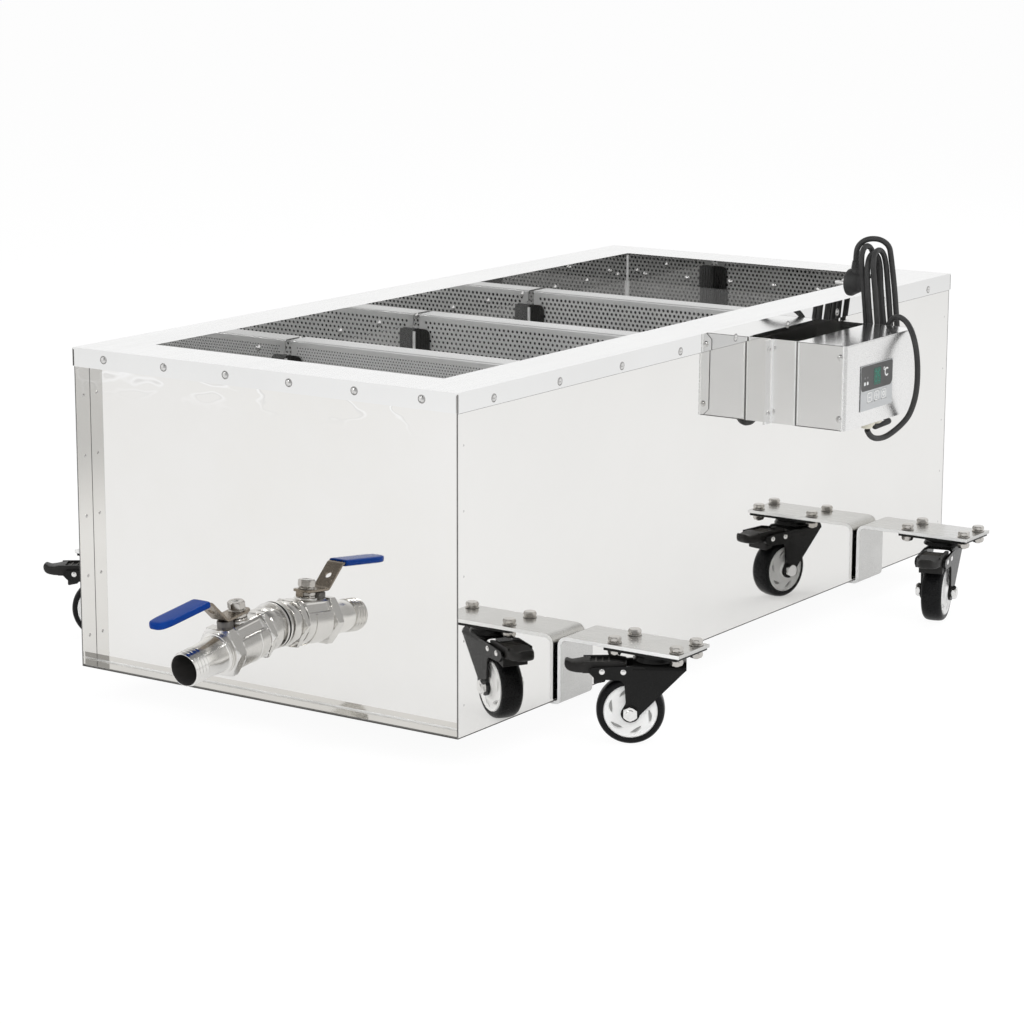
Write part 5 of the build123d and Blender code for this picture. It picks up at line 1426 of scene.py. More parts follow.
    def _pedal(self) -> None:
        """Brake pedal: a trough between the wings, a wide foot with a hooked lip, the shoe and light ribs."""
        under = [
            (78.0, 80.0), (66.0, 80.1), (66.0, 68.0), (54.0, 70.6), (50.0, 78.5), (34.0, 78.5), (30.0, 81.5)
        ]
        radii = [2.0, 4.0, 0.4, 0.4, 2.0, 1.5, 1.5, 3.0, 3.0, 2.0]
        cheek = rounded([(31.0, 91.5), (43.0, 93.7), (78.0, 92.7), *under], radii)
        core = rounded([(31.0, 88.6), (43.0, 90.2), (78.0, 90.6), *under], radii)
        runs = ((core, -13.0, 13.0), (cheek, 12.5, 15.0), (cheek, -15.0, -12.5))
        skins = [prism(outline, low, high).placed(self.upright()) for outline, low, high in runs]
        pin = lathe([(0, -19.4), (2.5, -19.4), (2.5, 19.4), (0, 19.4)], 24, ring=False)
        skins += [self._foot(), pin.placed(self.upright(self.pin_along, 0.0, self.pin_height))]
        pedal = Skin.joined(*skins)
        self._add(pedal, "brake_pedal", BLACK_NYLON, "brake", "black_steel", "pedal", bevel=0.7)
        rib = prism(rounded([(-1.0, -0.6), (1.0, -0.6), (0.8, 1.2), (-0.8, 1.2)], 0.4, 3), -12.4, 12.4)
        ribs = [rib.placed(self.upright(along, 0.0, 90.3)) for along in (50.0, 57.0, 64.0)]
        self._add(Skin.joined(*ribs), "pedal_ribs", PEDAL_TREAD, "brake", "black_steel", bevel=0.2)


@dataclass
class OutletValve:
    """Ball valve and hose barb on the outlet pipe, which slopes down away from the front panel."""

    pivot: Triple = (-2.0, -542.0, 118.0)
    tilt: float = 6.9
    stem: float = 56.7
    lug: float = 77.7
    lever_base: float = 33.3
    lever_thick: float = 3.0
    lever_half: float = 11.0
    lever_hole: float = 4.0
    lever_bend: float = 3.0
    knee: float = 27.5
    shoulder: float = 51.5
    lift: float = 27.5
    reach: float = 118.0
    tip_share: float = 0.55
    facet: Triple = (25.2, 27.7, 66.0)
    facet_run: Pair = (35.2, 78.4)
    pocket_lean: Pair = (34.0, 59.0)
    pocket_run: Pair = (38.0, 75.6)
    pocket_sink: float = 1.6
    shell_bore: float = 20.2
    grip: Triple = (12.5, 3.9, 80.2)
    grip_start: float = 54.5

    def _axes(self) -> tuple[Array, Array]:
        """Directions out along the pipe and up across it.

        Returns:
            Both directions.
        """
        turn = math.radians(self.tilt)
        out = np.array([0.0, -math.cos(turn), -math.sin(turn)])
        return out, np.array([0.0, -math.sin(turn), math.cos(turn)])

    def place(self) -> Array:
        """Placement with local Z out along the pipe and local X up across it."""
        out, up = self._axes()
        return placement(self.pivot, up, out)

    def upright(self, along: float) -> Array:
        """Placement out along the pipe: local X right, local Y back towards the tank, local Z up."""
        out, up = self._axes()
        return placement(np.array(self.pivot) + along * out, (1, 0, 0), up)

    def build(self) -> None:
        """Makes the end piece, body, barb, lever, sleeve and nuts."""
        self._end_piece()
        self._body()
        self._barb()
        self._nuts()
        self._lever()
        self._sleeve()

    def _end_piece(self) -> None:
        """End piece: a round neck with soft shoulders, and a hexagon against the body."""
        neck = lathe([
            (21.2, 10.0), (23.4, 10.0), (24.5, 10.5), (25.0, 11.6), (25.0, 22.8), (24.6, 23.8), (23.6, 24.3),
            (21.2, 24.3),
        ], 96)
        Skin.joined(hexagon(51.0, 24.0, 33.3, 13.0), neck).placed(self.place()).piece(
            "end_piece_hex", CAST_STEEL, "tank", "valve_steel", ("valve_end_piece",)
        )

    def _shell(self) -> Skin:
        """Cast shell on a polar grid: round below, with a flat top, and a ridge and a pocket on each side.

        Returns:
            The shell.
        """
        run = np.array([33.9, 34.3, 35.2, 46.6, 47.0, 49.4, 49.8, 77.6, 79.2])
        girth = np.array([24.4, 25.6, 26.0, 26.0, 26.8, 26.8, 26.0, 26.0, 25.4])
        fine = np.unique(np.concatenate([run, np.linspace(36.0, 77.0, 60)]))
        angle = np.linspace(-np.pi, np.pi, 180, endpoint=False)
        d, a = np.meshgrid(fine, angle, indexing="ij")
        base = np.interp(d, run, girth)
        lean = np.degrees(np.abs(a))
        within = np.radians((lean + 30.0) % 60.0 - 30.0)
        flat, tip, end = self.facet
        facet = np.minimum(flat / np.cos(within), tip)
        upper = np.clip((end - lean) / 4.0, 0.0, 1.0) * span_mask(d, self.facet_run, 0.8)
        pocket = span_mask(lean, self.pocket_lean, 2.0) * span_mask(d, self.pocket_run, 0.9)
        radius = base + upper * (facet - base) - self.pocket_sink * pocket
        points = np.stack([radius * np.cos(a), radius * np.sin(a), d], axis=-1)
        rings = np.concatenate([points, bore(self.shell_bore, (run[-1], run[0]), angle)])
        return Skin.grid(rings, wrap_rows=True, wrap_columns=True)

    def _body(self) -> None:
        """Cast body: shell, front hexagon and bonnet, a dark stop lug in front, and painted shade in the
        joint's groove.
        """
        bonnet = lathe([(6.1, 18.0), (13.0, 18.0), (13.0, 25.8), (12.6, 26.7), (11.8, 27.0), (6.1, 27.0)])
        Skin.joined(
            Skin.joined(self._shell(), hexagon(52.0, 79.0, 94.0, 17.4)).placed(self.place()),
            bonnet.placed(self.upright(self.stem)),
        ).piece("cast_body", CAST_STEEL, "tank", "valve_steel", ("valve_body",), crease=28.0)
        stop = [(0.0, 20.0), (9.0, 20.0), (9.0, 30.6), (8.2, 32.0), (6.8, 32.5), (0.0, 32.5)]
        # Painted shade: a dark ring in the groove between the end piece and the shell
        joint = [(20.5, 33.0), (24.2, 33.0), (24.2, 34.2), (20.5, 34.2)]
        Skin.joined(
            lathe(stop, 48, ring=False).placed(self.upright(self.lug)), lathe(joint, 96).placed(self.place())
        ).piece("stop_lug_and_joint_shade", DARK_STEEL, "tank", "valve_steel")

    def _barb(self) -> None:
        """Turned hose tail: two thin collar rings, a taper, four soft saw-tooth ribs and painted shade in the
        bore.
        """
        start = np.array([
            (17.3, 84.0), (19.2, 84.0), (19.2, 93.8), (23.1, 94.0), (23.5, 94.4), (23.5, 95.4), (23.1, 95.8),
            (22.5, 95.9), (22.5, 96.2), (22.9, 96.4), (22.9, 97.5), (22.5, 98.0), (21.5, 98.2), (20.9, 98.8),
            (20.5, 100.4), (19.6, 113.0), (18.35, 130.6),
        ])
        tooth = np.array([(18.2, 131.0), (19.2, 131.5), (19.25, 132.1), (18.8, 133.2), (17.9, 135.4)])
        ribs = (tooth + np.arange(4)[:, None, None] * (0.0, 5.0)).reshape(-1, 2)
        mouth = np.array([(18.3, 150.6), (18.1, 151.0), (17.5, 151.0), (17.3, 150.7)])
        lathe(np.concatenate([start, ribs, mouth]), 96).placed(self.place()).piece(
            "hose_tail", TAIL_STEEL, "tank", "valve_steel", ("hose_barb",), crease=32.0
        )
        # Painted shade: a dark layer just inside the bore
        bore_shade_skin = lathe([(17.28, 150.0), (17.05, 149.8), (17.05, 86.0), (17.28, 86.0)], 96)
        bore_shade_skin.placed(self.place()).piece("hose_bore_shade", BORE_SHADE, "tank", "valve_steel")

    def _nuts(self) -> None:
        """Washer and packing nut under the lever, and the tall stem nut on its washers."""
        seat = self.upright(self.stem)
        ring = lathe([(5.1, 27.0), (10.6, 27.0), (11.0, 27.5), (11.0, 28.3), (10.6, 28.8), (5.1, 28.8)], 48)
        Skin.joined(ring, hexagon(18.0, 28.8, 33.0, 5.1)).placed(seat).piece(
            "packing_hex", NUT_STEEL, "tank", "valve_steel", ("packing_nut",)
        )
        washers = lathe([
            (5.1, 36.3), (9.0, 36.3), (9.4, 36.7), (9.4, 37.3), (8.8, 37.5), (8.9, 38.1), (8.6, 38.4),
            (5.1, 38.4),
        ], 48)
        Skin.joined(washers, hexagon(17.0, 38.4, 47.0, 5.1, 0.16)).placed(seat).piece(
            "stem_hex", NUT_STEEL, "valve_handle", "valve_steel", ("lever_nut",)
        )
        thread = lathe([(0, 46.8), (4.2, 46.8), (5.0, 46.0), (5.0, 28.0), (0, 28.0)], 32, ring=False)
        thread.placed(seat).piece("stem_thread", TURNED_STEEL, "valve_handle", "valve_steel")

    def _strip(self, path: Array, tangent: Array, width: Array, cap: int) -> Skin:
        """A run of the lever: rings of top and bottom points along a path, closed at one end.

        Args:
            path: Points back from the stem and up.
            tangent: Direction of the path at each point.
            width: Half width at each point.
            cap: Number of the ring that is closed.
        Returns:
            The run.
        """
        share = np.linspace(-1.0, 1.0, 7)
        share = np.concatenate([share, share[::-1]])
        side = np.repeat([0.5, -0.5], 7) * self.lever_thick
        way = tangent / np.linalg.norm(tangent, axis=1, keepdims=True)
        normal = np.stack([way[:, 1], -way[:, 0]], axis=-1)
        ring = np.empty((len(path), 14, 3))
        ring[..., 0] = width[:, None] * share
        ring[..., 1:] = path[:, None] + normal[:, None] * side[:, None]
        skin = Skin.grid(ring, wrap_columns=True)
        end = np.arange(14)[None] + (cap % len(path)) * 14
        return Skin(skin.points, skin.faces + [end])

    def _ramp(self, low: Array, high: Array) -> Skin:
        """The lever's ramp: a strip with a round hole, each face a ring of quads from its edge to the hole.

        Args:
            low: Lower end of the ramp's middle line.
            high: Upper end of it.
        Returns:
            The ramp, open at both ends.
        """
        length = np.linalg.norm(high - low)
        ahead = (high - low) / length
        normal = np.array([ahead[1], -ahead[0]])
        wide = np.linspace(-self.lever_half, self.lever_half, 7)
        along = np.linspace(0.0, length, 6)[1:-1]
        right = np.full(4, self.lever_half)
        top = np.full(7, length)
        sides = ((0.0 * top, wide), (along, right), (top, wide[::-1]), (along[::-1], -right))
        edge = np.concatenate([np.stack(side, axis=-1) for side in sides])
        middle = np.array([length / 2.0, 0.0])
        spoke = edge - middle
        hole = middle + self.lever_hole * spoke / np.linalg.norm(spoke, axis=1, keepdims=True)
        flat = np.concatenate([edge, hole])
        count = len(edge)
        points = np.empty((2, 2 * count, 3))
        points[..., 0] = flat[:, 1]
        for level, half in enumerate((0.5, -0.5)):
            points[level, :, 1:] = low + flat[:, :1] * ahead + normal * half * self.lever_thick
        number = np.arange(count)
        beside = np.roll(number, -1)
        face = np.stack([number, beside, beside + count, number + count], axis=-1)
        wall = np.stack([number + count, beside + count, beside + 3 * count, number + 3 * count], axis=-1)
        flank = np.abs(edge[number, 1] + edge[beside, 1]) > 1.99 * self.lever_half
        border = np.stack([number, beside, beside + 2 * count, number + 2 * count], axis=-1)[flank]
        return Skin(points.reshape(-1, 3), [face, face[:, ::-1] + 2 * count, wall, border])

    def _lever(self) -> None:
        """Strip lever: level at the stem, a drilled ramp and a level run into the grip, with a tab behind."""
        rest = self.lever_base + self.lever_thick / 2.0
        foot = np.array([-self.knee, rest])
        head = np.array([-self.shoulder, rest + self.lift])
        ahead = (head - foot) / np.linalg.norm(head - foot)
        level = np.array([-1.0, 0.0])
        turn = np.linspace(0.0, 1.0, 6)[:, None]
        start, swing, finish = (1 - turn) ** 2, 2 * turn * (1 - turn), turn ** 2
        low = foot + self.lever_bend * ahead
        high = head - self.lever_bend * ahead
        knee = start * (foot - self.lever_bend * level) + swing * foot + finish * low
        crown = start * high + swing * head + finish * (head + self.lever_bend * level)
        heel = np.array([(13.0, rest), (12.4, rest), (10.5, rest), (7.0, rest), (0.0, rest)])
        heel_half = np.array([5.5, 7.6, 9.8, self.lever_half, self.lever_half])
        even = np.full(6, self.lever_half)
        tab = rounded([(10.4, 27.9), (13.0, 27.9), (13.0, rest), (10.4, rest)], 0.8, 4)
        Skin.joined(
            self._strip(
                np.concatenate([heel, knee]),
                np.concatenate([np.tile(level, (5, 1)), (1 - turn) * level + turn * ahead]),
                np.concatenate([heel_half, even]),
                0,
            ),
            self._ramp(low, high),
            self._strip(
                np.concatenate([crown, [(-self.reach, rest + self.lift)]]),
                np.concatenate([(1 - turn) * ahead + turn * level, level[None]]),
                np.append(even, self.tip_share * self.lever_half),
                -1,
            ),
            prism(tab, -4.5, 4.5).placed(FACING_RIGHT),
        ).placed(self.upright(self.stem)).piece(
            "lever_strip", LEVER_STEEL, "valve_handle", "valve_steel", ("valve_lever",),
            bevel=0.5, crease=30.0,
        )

    def _sleeve(self) -> None:
        """Vinyl grip: rounded-box sections along the lever, drawn in to a round end."""
        front = [0.0, 0.86, 0.96, 1.0]
        share = np.concatenate([
            [0.0, 0.0, 0.012, 0.03], np.linspace(0.06, 0.9, 22), [0.93, 0.96, 0.98, 0.993, 1.0]
        ])
        grow = np.concatenate([front, np.ones(22), [0.99, 0.95, 0.86, 0.68, 0.0]])
        plan = np.concatenate([
            np.array(front) ** 0.6, np.ones(18), [0.985, 0.96, 0.92, 0.86, 0.78, 0.64, 0.48, 0.30, 0.0]
        ])
        count = 48
        wide, thick = soft_box(count, 0.4)
        points = np.empty((len(share), count, 3))
        half_width, half_thick, long = self.grip
        middle = self.lever_base + self.lever_thick / 2.0 + self.lift
        points[..., 0] = half_width * plan[:, None] * wide
        points[..., 1] = -self.grip_start - long * share[:, None]
        points[..., 2] = middle + half_thick * grow[:, None] * thick
        Skin.grid(points, wrap_columns=True).placed(self.upright(self.stem)).piece(
            "lever_grip", BLUE_VINYL, "valve_handle", "sleeve_blue", ("lever_sleeve",), crease=60.0
        )


@dataclass
class StrainerScreen:
    """A perforated sheet with a folded top flange. Cells in staggered rows each hold one hole."""

    grade: str
    y: float
    pitch: float
    hole: float
    corners: int
    half_width: float = 194.0
    low: float = 84.3
    high: float = 380.0
    margin: float = 7.0
    sheet: float = 1.5
    shade: float = 0.2
    fold: float = 2.4
    flange_half: float = 195.0
    row_share: float = 0.866
    flange: float = 32.0

    def _field(self, half: float, low: float, high: float) -> tuple[Array, Array, Array]:
        """Perforated rectangle in cells, with plain half cells at both ends of every second row.

        Args:
            half: Half width of the field.
            low: Lower edge.
            high: Upper edge.
        Returns:
            Edge points and hole points, each cells x corners x 2, and the half cells, count x 4 x 2.
        """
        columns = max(round(2.0 * half / self.pitch), 2)
        rows = max(round((high - low) / (self.pitch * self.row_share)), 2)
        wide = 2.0 * half / columns
        tall = (high - low) / rows
        row, column = np.meshgrid(np.arange(rows), np.arange(columns), indexing="ij")
        shift = 0.5 * (row % 2)
        use = column + shift <= columns - 1
        x = (-half + (column + 0.5 + shift) * wide)[use]
        z = (low + (row + 0.5) * tall)[use]
        offset = 0.5 if self.corners == 4 else 0.0
        angle = 2.0 * np.pi * (np.arange(self.corners) + offset) / self.corners
        ray = np.stack([np.cos(angle), np.sin(angle)], axis=-1)
        centre = np.stack([x, z], axis=-1)[:, None]
        edge = np.sign(ray.round(6)) * np.array([wide, tall]) / 2.0
        base = low + np.arange(1, rows, 2) * tall
        quad = np.array([(0.0, 0.0), (wide / 2.0, 0.0), (wide / 2.0, tall), (0.0, tall)])
        left = np.stack([np.full(len(base), -half), base], axis=-1)[:, None] + quad
        right = left + np.array([2.0 * half - wide / 2.0, 0.0])
        return centre + edge, centre + ray * self.hole / 2.0, np.concatenate([left, right])

    def _plate(self, half: float, low: float, high: float) -> Skin:
        """Perforated plate with thickness: on each face a ring of quads round every hole, and hole walls.

        Args:
            half: Half width.
            low: Lower edge.
            high: Upper edge.
        Returns:
            The plate, upright about Y zero.
        """
        outer, ring, fill = self._field(half, low, high)
        cells, sides = outer.shape[:2]
        flat = np.concatenate([part.reshape(-1, 2) for part in (outer, ring, fill)])
        count = len(flat)
        number = np.arange(cells * sides).reshape(cells, sides)
        beside = np.roll(number, -1, axis=1)
        inner = number + cells * sides
        inner_beside = beside + cells * sides
        face = np.stack([number, beside, inner_beside, inner], axis=-1).reshape(-1, 4)
        plain = (np.arange(len(fill) * 4) + 2 * cells * sides).reshape(-1, 4)
        front = np.concatenate([face, plain])
        wall = np.stack([inner, inner_beside, inner_beside + count, inner + count], axis=-1).reshape(-1, 4)
        points = np.empty((2, count, 3))
        points[..., 0] = flat[:, 0]
        points[..., 2] = flat[:, 1]
        points[0, :, 1] = -self.sheet / 2.0
        points[1, :, 1] = self.sheet / 2.0
        return Skin(points.reshape(-1, 3), [front, front[:, ::-1] + count, wall])

    def _fold(self) -> Skin:
        """Folded flange: a bent strip profile carried across the screen.

        Returns:
            The closed strip.
        """
        turn = np.linspace(0.0, np.pi / 2.0, 7)
        face = self.sheet / 2.0
        rise = np.stack([1.0 - np.cos(turn), np.sin(turn)], axis=-1)
        outer = (-face, self.high - self.fold) + self.fold * rise
        inner = (face, self.high - self.fold) + (self.fold - self.sheet) * rise
        far = self.flange - face
        tip = [(far - 0.4, 0.0), (far, -0.4), (far, -1.1), (far - 0.4, -self.sheet)]
        profile = np.concatenate([outer, np.array(tip) + (0.0, self.high), inner[::-1]])
        return prism(profile, -self.flange_half, self.flange_half).placed(FACING_RIGHT)

    def build(self) -> None:
        """Makes the screen with plain margins, the shade in its holes and the folded flange."""
        body = f"strainer_{self.grade}"
        place = (0.0, self.y, 0.0)
        wide = self.half_width
        half = wide - self.margin
        low = self.low + self.margin
        high = self.high - self.margin
        face = self.sheet / 2.0
        skins = [self._plate(half, low, high)]
        for left, right, bottom, top in (
            (-wide, wide, self.low, low),
            (-wide, wide, high, self.high - self.fold),
            (-wide, -half, low, high),
            (half, wide, low, high),
        ):
            skins.append(block((left, -face, bottom), (right, face, top)))
        film = block((-half, -self.shade / 2.0, low), (half, self.shade / 2.0, high))
        film.moved(place).piece(f"hole_shade_{self.grade}", HOLE_SHADE, body, "screen_sheet")
        self._fold().moved(place).piece(f"screen_flange_{self.grade}", FLANGE_STEEL, body, "screen_sheet")
        Skin.joined(*skins).moved(place).piece(
            f"perforated_{self.grade}", SCREEN_STEEL, body, "screen_sheet", (f"screen_{self.grade}",)
        )


@dataclass
class ControlBox:
    """Folded sheet of the control box: stand-off plates, the cover with its window, and two ivory glands."""

    wall: float = 262.0
    back: float = 298.0
    face: float = 363.7
    flange: float = 347.5
    chamfer: float = 8.0
    left: float = 88.5
    right: float = 265.5
    low: float = 276.0
    high: float = 378.0
    sheet: float = 1.2
    fold: float = 4.0
    standoff_fold: float = 2.4
    standoff_flanges: Pair = (16.0, 12.0)
    window: Pair = (128.9, 201.1)
    sill: Pair = (299.4, 343.6)
    glands: tuple[Pair, Pair] = ((352.0, 166.0), (350.0, 188.0))

    def build(self) -> None:
        """Makes the stand-off, the cover's painted highlight and shade lines, the cover and the glands."""
        self._standoff()
        self._lines()
        self._cover()
        self._glands()

    def _both(self, skin: Skin) -> list[Skin]:
        """A part on the near side of the box, and its mirror image on the far side."""
        return [skin, skin.moved((0.0, self.left + self.right, 0.0), (1.0, -1.0, 1.0))]

    def _standoff(self) -> None:
        """Two folded plates between the tank's wall and the box, each with a flange on the wall."""
        fold = self.standoff_fold
        outer, inner = self.standoff_flanges
        foot = self.wall + self.sheet
        path = np.concatenate([
            [(foot, self.left - outer)],
            bend((foot + fold, self.left - fold), 180.0, -90.0, fold),
            bend((self.back - fold, self.left + fold), -90.0, 90.0, fold),
            [(self.back, self.left + inner)],
        ])
        near = folded_sheet(path, (self.low, self.high), self.sheet)
        Skin.joined(*self._both(near)).piece(
            "standoff_plates", STANDOFF_STEEL, "tank", "box_sheet", ("box_standoff",)
        )

    def _strip(self, x: float, wide: float, y: float, deep: float) -> list[Skin]:
        """Upright strips as high as the box, on both of its sides, from a corner and two sizes."""
        return self._both(block((x, y, self.low), (x + wide, y + deep, self.high)))

    def _lines(self) -> None:
        """Painted highlights along the folds beside the stand-off and the cover's bend, and painted shade
        round its flanges.
        """
        start = self.left - self.sheet
        inset = self.face - self.fold
        folds = []
        # Painted highlight: light strips along the folds
        for x, wide, y, deep in (
            (self.wall + 1.1, 1.3, self.left - 2.3, 1.3),
            (self.back - 3.9, 1.5, self.left - 0.2, 0.25),
            (self.back + 0.3, 1.5, self.left - 0.2, 0.25),
            (inset - 0.8, 1.5, start - 0.2, 0.25),
        ):
            folds += self._strip(x, wide, y, deep)
        # Painted shade: the flange's dark free edge, dark lines along its top and bottom, and the groove by
        # the stand-off
        seams = self._both(self._flange(0.06, start + 0.15, self.left - 0.15))
        for low, high in ((self.low, self.low + 0.7), (self.high - 0.5, self.high)):
            seams += self._both(block((self.back, start, low), (inset, self.left, high)))
        seams += self._strip(self.back - 2.2, 1.6, self.left - 0.15, 0.2)
        Skin.joined(*folds).piece("box_fold_highlights", HIGHLIGHT_STEEL, "tank", "box_sheet")
        Skin.joined(*seams).piece("box_seam_shade", SEAM_SHADE, "tank", "box_sheet")

    def _cover(self) -> None:
        """Cover bent round both sides of the box, cut out for the panel, with a bead along its top."""
        start = self.left - self.sheet
        end = self.right + self.sheet
        inset = self.face - self.fold
        path = np.concatenate([
            [(inset - 0.5, start)],
            bend((inset, start + self.fold), -90.0, 90.0, self.fold),
            [(self.face, self.window[0]), (self.face, self.window[1])],
            bend((inset, end - self.fold), 0.0, 90.0, self.fold),
            [(inset - 0.5, end)],
        ])
        cover = folded_sheet(path, (self.low, *self.sill, self.high), self.sheet, hole=(7, 8))
        edge = rounded([(-1.6, -1.2), (0.0, -1.2), (0.0, 1.2), (-1.6, 1.2)], [0.3, 1.1, 1.1, 0.3])
        top = placement((self.face, 0.0, self.high - 1.2), (1, 0, 0), (0, 1, 0))
        bead = prism(edge, start + self.fold, end - self.fold).placed(top)
        flanges = self._both(self._flange(0.0, start, self.left))
        Skin.joined(*flanges).piece("cover_flanges", BOX_STEEL, "tank", "box_sheet")
        Skin.joined(cover, bead).piece("cover_sheet", COVER_STEEL, "tank", "box_sheet", ("box_cover",))

    def _flange(self, grow: float, near: float, far: float) -> Skin:
        """Side flange of the cover, with its free corners cut off.

        Args:
            grow: How much further its free edge stands.
            near: Its lower face along Y.
            far: Its upper face along Y.
        Returns:
            The flange.
        """
        free = self.flange - grow
        bent = self.face - self.fold
        cut = self.chamfer
        outline = [
            (free + cut, self.low), (free, self.low + cut), (free, self.high - cut), (free + cut, self.high),
            (bent, self.high), (bent, self.low),
        ]
        return prism(outline, -far, -near).placed(FACING_FRONT)

    def _glands(self) -> None:
        """Gland of the mains cord, with a dome nut, and the plain gland of the heater's lead."""
        thread = lathe([(3.7, 0.0), (7.0, 0.0), (7.0, -8.0), (3.7, -8.0)], 40)
        cap = lathe([(3.7, 5.0), (7.5, 5.0), (7.5, 6.4), (7.0, 7.6), (5.8, 8.6), (4.4, 9.0), (3.7, 8.6)], 40)
        base = Skin.joined(hexagon(17.0, 0.0, 5.0, 3.6), thread)
        skins = []
        for skin, (x, y) in zip((Skin.joined(base, cap), base), self.glands):
            skins.append(skin.placed(placement((x, y, self.low), (1, 0, 0), (0, 0, -1))))
        Skin.joined(*skins).piece("gland_nuts", IVORY, "tank", "gland_ivory", ("cord_gland",))


@dataclass
class ControlFace:
    """Thermostat panel on the box: printed fields, window, digits and buttons."""

    face: float = 364.5
    y: float = 165.0
    z: float = 321.5
    length: float = 82.0
    height: float = 55.0
    button_drop: float = 12.5
    button_first: float = -18.0
    button_pitch: float = 18.2
    button_half: float = 6.25
    well: float = 6.45
    digit_rise: float = 11.3
    lamp_marks: Pair = (-31.0, -24.0)
    frame_line: float = 1.2

    @staticmethod
    def _card(left: float, right: float, low: float, high: float, radii: Radii) -> Array:
        """Rounded rectangle between four sides, measured from the panel's middle."""
        return rounded([(left, low), (right, low), (right, high), (left, high)], radii, 6)

    def _bar(self, x: float, y: float, wide: float, tall: float) -> Array:
        """Outline of a small bar about a point, with rounded corners."""
        return self._card(x - wide / 2, x + wide / 2, y - tall / 2, y + tall / 2, min(wide, tall) * 0.3)

    @staticmethod
    def _ring(x: float, y: float, inner: float, outer: float, gap: float = 0.0) -> list[Array]:
        """Ring, or ring open to the right, in short four-sided steps.

        Args:
            x: Middle along the panel.
            y: Middle up the panel.
            inner: Inner radius.
            outer: Outer radius.
            gap: Angle left open above and below the right-hand side, in degrees.
        Returns:
            The outlines.
        """
        angle = np.radians(np.linspace(gap, 360.0 - gap, 25))
        ray = np.stack([np.cos(angle), np.sin(angle)], axis=-1)
        near = np.array([x, y]) + inner * ray
        far = np.array([x, y]) + outer * ray
        return list(np.stack([near[:-1], far[:-1], far[1:], near[1:]], axis=1))

    def _print(self, outlines: Sequence[Array], low: float, high: float) -> Skin:
        """Thin raised print from outlines on the panel, between two heights above its face."""
        place = placement((self.face, self.y, self.z), (0, 1, 0), (1, 0, 0))
        return Skin.joined(*[prism(line, low, high) for line in outlines]).placed(place)

    def build(self) -> None:
        """Makes the panel's fields, digits, marks and buttons."""
        half = self.length / 2.0
        tall = self.height / 2.0
        low = -self.button_drop - self.well
        high = -self.button_drop + self.well
        strips = [(-half, half, high, tall), (-half, half, -tall, low)]
        stops = [-half]
        for index in range(3):
            centre = self.button_first + index * self.button_pitch
            stops += [centre - self.well, centre + self.well]
        stops.append(half)
        strips += [(left, right, low, high) for left, right in zip(stops[::2], stops[1::2])]
        fields = [self._card(*strip, 0.05) for strip in strips]
        self._print(fields, -0.7, 0.1).piece("panel_field", PANEL_GREY, "tank", "panel_grey")
        dark = self._card(-half + 0.8, half - 0.8, -3.6, tall - 0.8, [5.0, 8.0, 3.0, 3.0])
        self._print([dark], 0.0, 0.25).piece("panel_shade", PANEL_DARK, "tank", "panel_grey")
        window = self._card(-8.2, 9.6, 1.0, 21.6, 1.0)
        self._print([window], 0.0, 0.4).piece("window", WINDOW_DARK, "tank", "panel_grey")
        self._digits()
        self._marks()
        for index, name in enumerate(("minus", "plus", "set")):
            self._button(index, name)

    def _digits(self) -> None:
        """Two plain seven-bar digits that read 35."""
        bars = {
            "top": (0, 6.2, 4.2, 1.4), "middle": (0, 0, 4.2, 1.4), "foot": (0, -6.2, 4.2, 1.4),
            "upper_right": (2.4, 3.1, 1.4, 4.9), "lower_right": (2.4, -3.1, 1.4, 4.9),
            "upper_left": (-2.4, 3.1, 1.4, 4.9),
        }
        dark = {-3.5: "upper_left", 4.9: "upper_right"}
        lines = []
        for centre, unlit in dark.items():
            for name, (x, y, wide, tall) in bars.items():
                if name != unlit:
                    lines.append(self._bar(centre + x, self.digit_rise + y, wide, tall))
        self._print(lines, 0.35, 0.5).piece("digits", DIGIT_GREEN, "tank", "panel_grey")

    def _marks(self) -> None:
        """Printed unit and indicator marks, with dim dots over them."""
        lines = self._ring(18.6, 18.0, 1.0, 2.1) + self._ring(25.0, 13.4, 3.4, 5.4, 42.0)
        lines += [self._bar(x, 5.3, 4.2, 4.2) for x in self.lamp_marks]
        self._print(lines, 0.2, 0.36).piece("panel_marks", PANEL_INK, "tank", "panel_grey")
        dots = [self._bar(x, 12.2, 2.4, 2.4) for x in self.lamp_marks]
        self._print(dots, 0.2, 0.36).piece("panel_dots", PANEL_DIM, "tank", "panel_grey")

    def _button(self, index: int, name: str) -> None:
        """A button with an outline and a plain sign.

        Args:
            index: Its place in the row.
            name: Its name.
        """
        centre = self.button_first + index * self.button_pitch
        row = -self.button_drop
        half = self.button_half
        key = self._card(centre - half, centre + half, row - half, row + half, 1.6)
        body = f"key_{name}"
        self._print([key], -1.6, 0.3).piece(
            f"key_cap_{name}", PANEL_GREY, body, "button_grey", (f"button_{name}",), bevel=0.3
        )
        line = self.frame_line
        edge = half - 0.9
        long = 2.0 * edge + line
        bars = [(0, edge, long, line), (0, -edge, long, line), (edge, 0, line, long), (-edge, 0, line, long)]
        if name != "set":
            bars.append((0, 0, 6.0, 1.3))
        if name == "plus":
            bars.append((0, 0, 1.3, 6.0))
        lines = [self._bar(centre + x, row + y, wide, tall) for x, y, wide, tall in bars]
        if name == "set":
            lines += self._ring(centre, row, 1.7, 3.0)
        self._print(lines, 0.25, 0.4).piece(f"key_print_{name}", PANEL_INK, body, "button_grey")


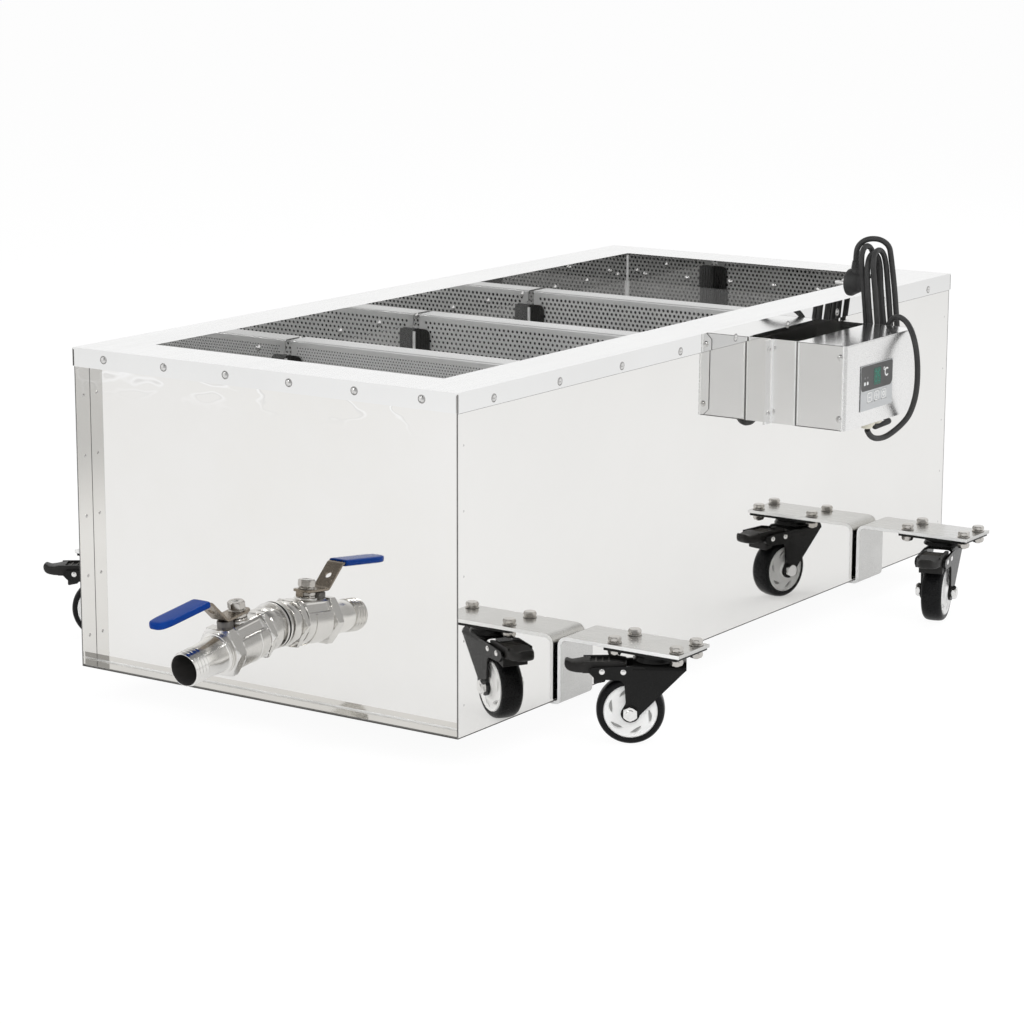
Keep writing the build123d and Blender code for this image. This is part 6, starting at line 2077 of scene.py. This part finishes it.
@dataclass
class Tank:
    """The CAD nodes that keep their shape, with their finishes."""

    nodes: dict[str, Piece]

    def build(self) -> None:
        """Gives every kept node its finish."""
        finishes = {
            MIRROR_SIDE: ("right_panel", "left_panel"),
            BASE_STEEL: ("base_panel",),
            MIRROR_FRONT: ("front_panel", "rear_panel"),
            RIM_SATIN: ("rim_cap",),
            BASIN_STEEL: ("basin",),
            SHADED_GUIDE_STEEL: ("screen_guides",),
            RIVET_STEEL: ("dome_rivets", "cover_screws", "temperature_probe"),
            BOX_STEEL: ("box_body",),
            BLACK_PAINT: ("castor_plates",),
            TURNED_STEEL: ("outlet_nipple", "outlet_locknut", "valve_ball", "valve_stem"),
            SEAT_WHITE: ("valve_seats",),
            SEAL_RUBBER: ("outlet_gasket", "heater_lead"),
            PANEL_GREY: ("thermostat",),
            SILICONE_RED: ("heater_mat",),
            WOOL_BOARD: ("insulation_boards",),
        }
        for finish, names in finishes.items():
            for name in names:
                node = self.nodes[name]
                node.data.materials.clear()
                node.data.materials.append(finish.material())
                LOG.info("node %s has finish %s", name, finish.name)


def main() -> None:
    """Builds the stage, then each sub-assembly."""
    logging.basicConfig(level=logging.INFO, format="%(message)s")
    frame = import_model()
    Studio().build()
    MainsCord().build()
    Tank(frame["nodes"]).build()
    OutletValve().build()
    corners = {
        "front_right": (370.0, -347.0, 211.0),
        "front_left": (-405.0, -330.0, 210.0),
        "rear_right": (370.0, 347.0, 284.0),
        "rear_left": (-405.0, 330.0, 250.0),
    }
    for corner, (x, y, yaw) in corners.items():
        Castor(corner, x, y, yaw).build()
    axes = [place[:2] for place in corners.values()]
    Outriggers(axes).build()
    PlateBolts(axes).build()
    Seams().build()
    StrainerScreen("fine", -259.0, 4.0, 2.3, 4).build()
    StrainerScreen("medium", 0.0, 6.6, 3.8, 8).build()
    StrainerScreen("coarse", 259.0, 6.6, 4.3, 8).build()
    ControlBox().build()
    ControlFace().build()
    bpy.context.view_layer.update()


if __name__ == "__main__":
    main()
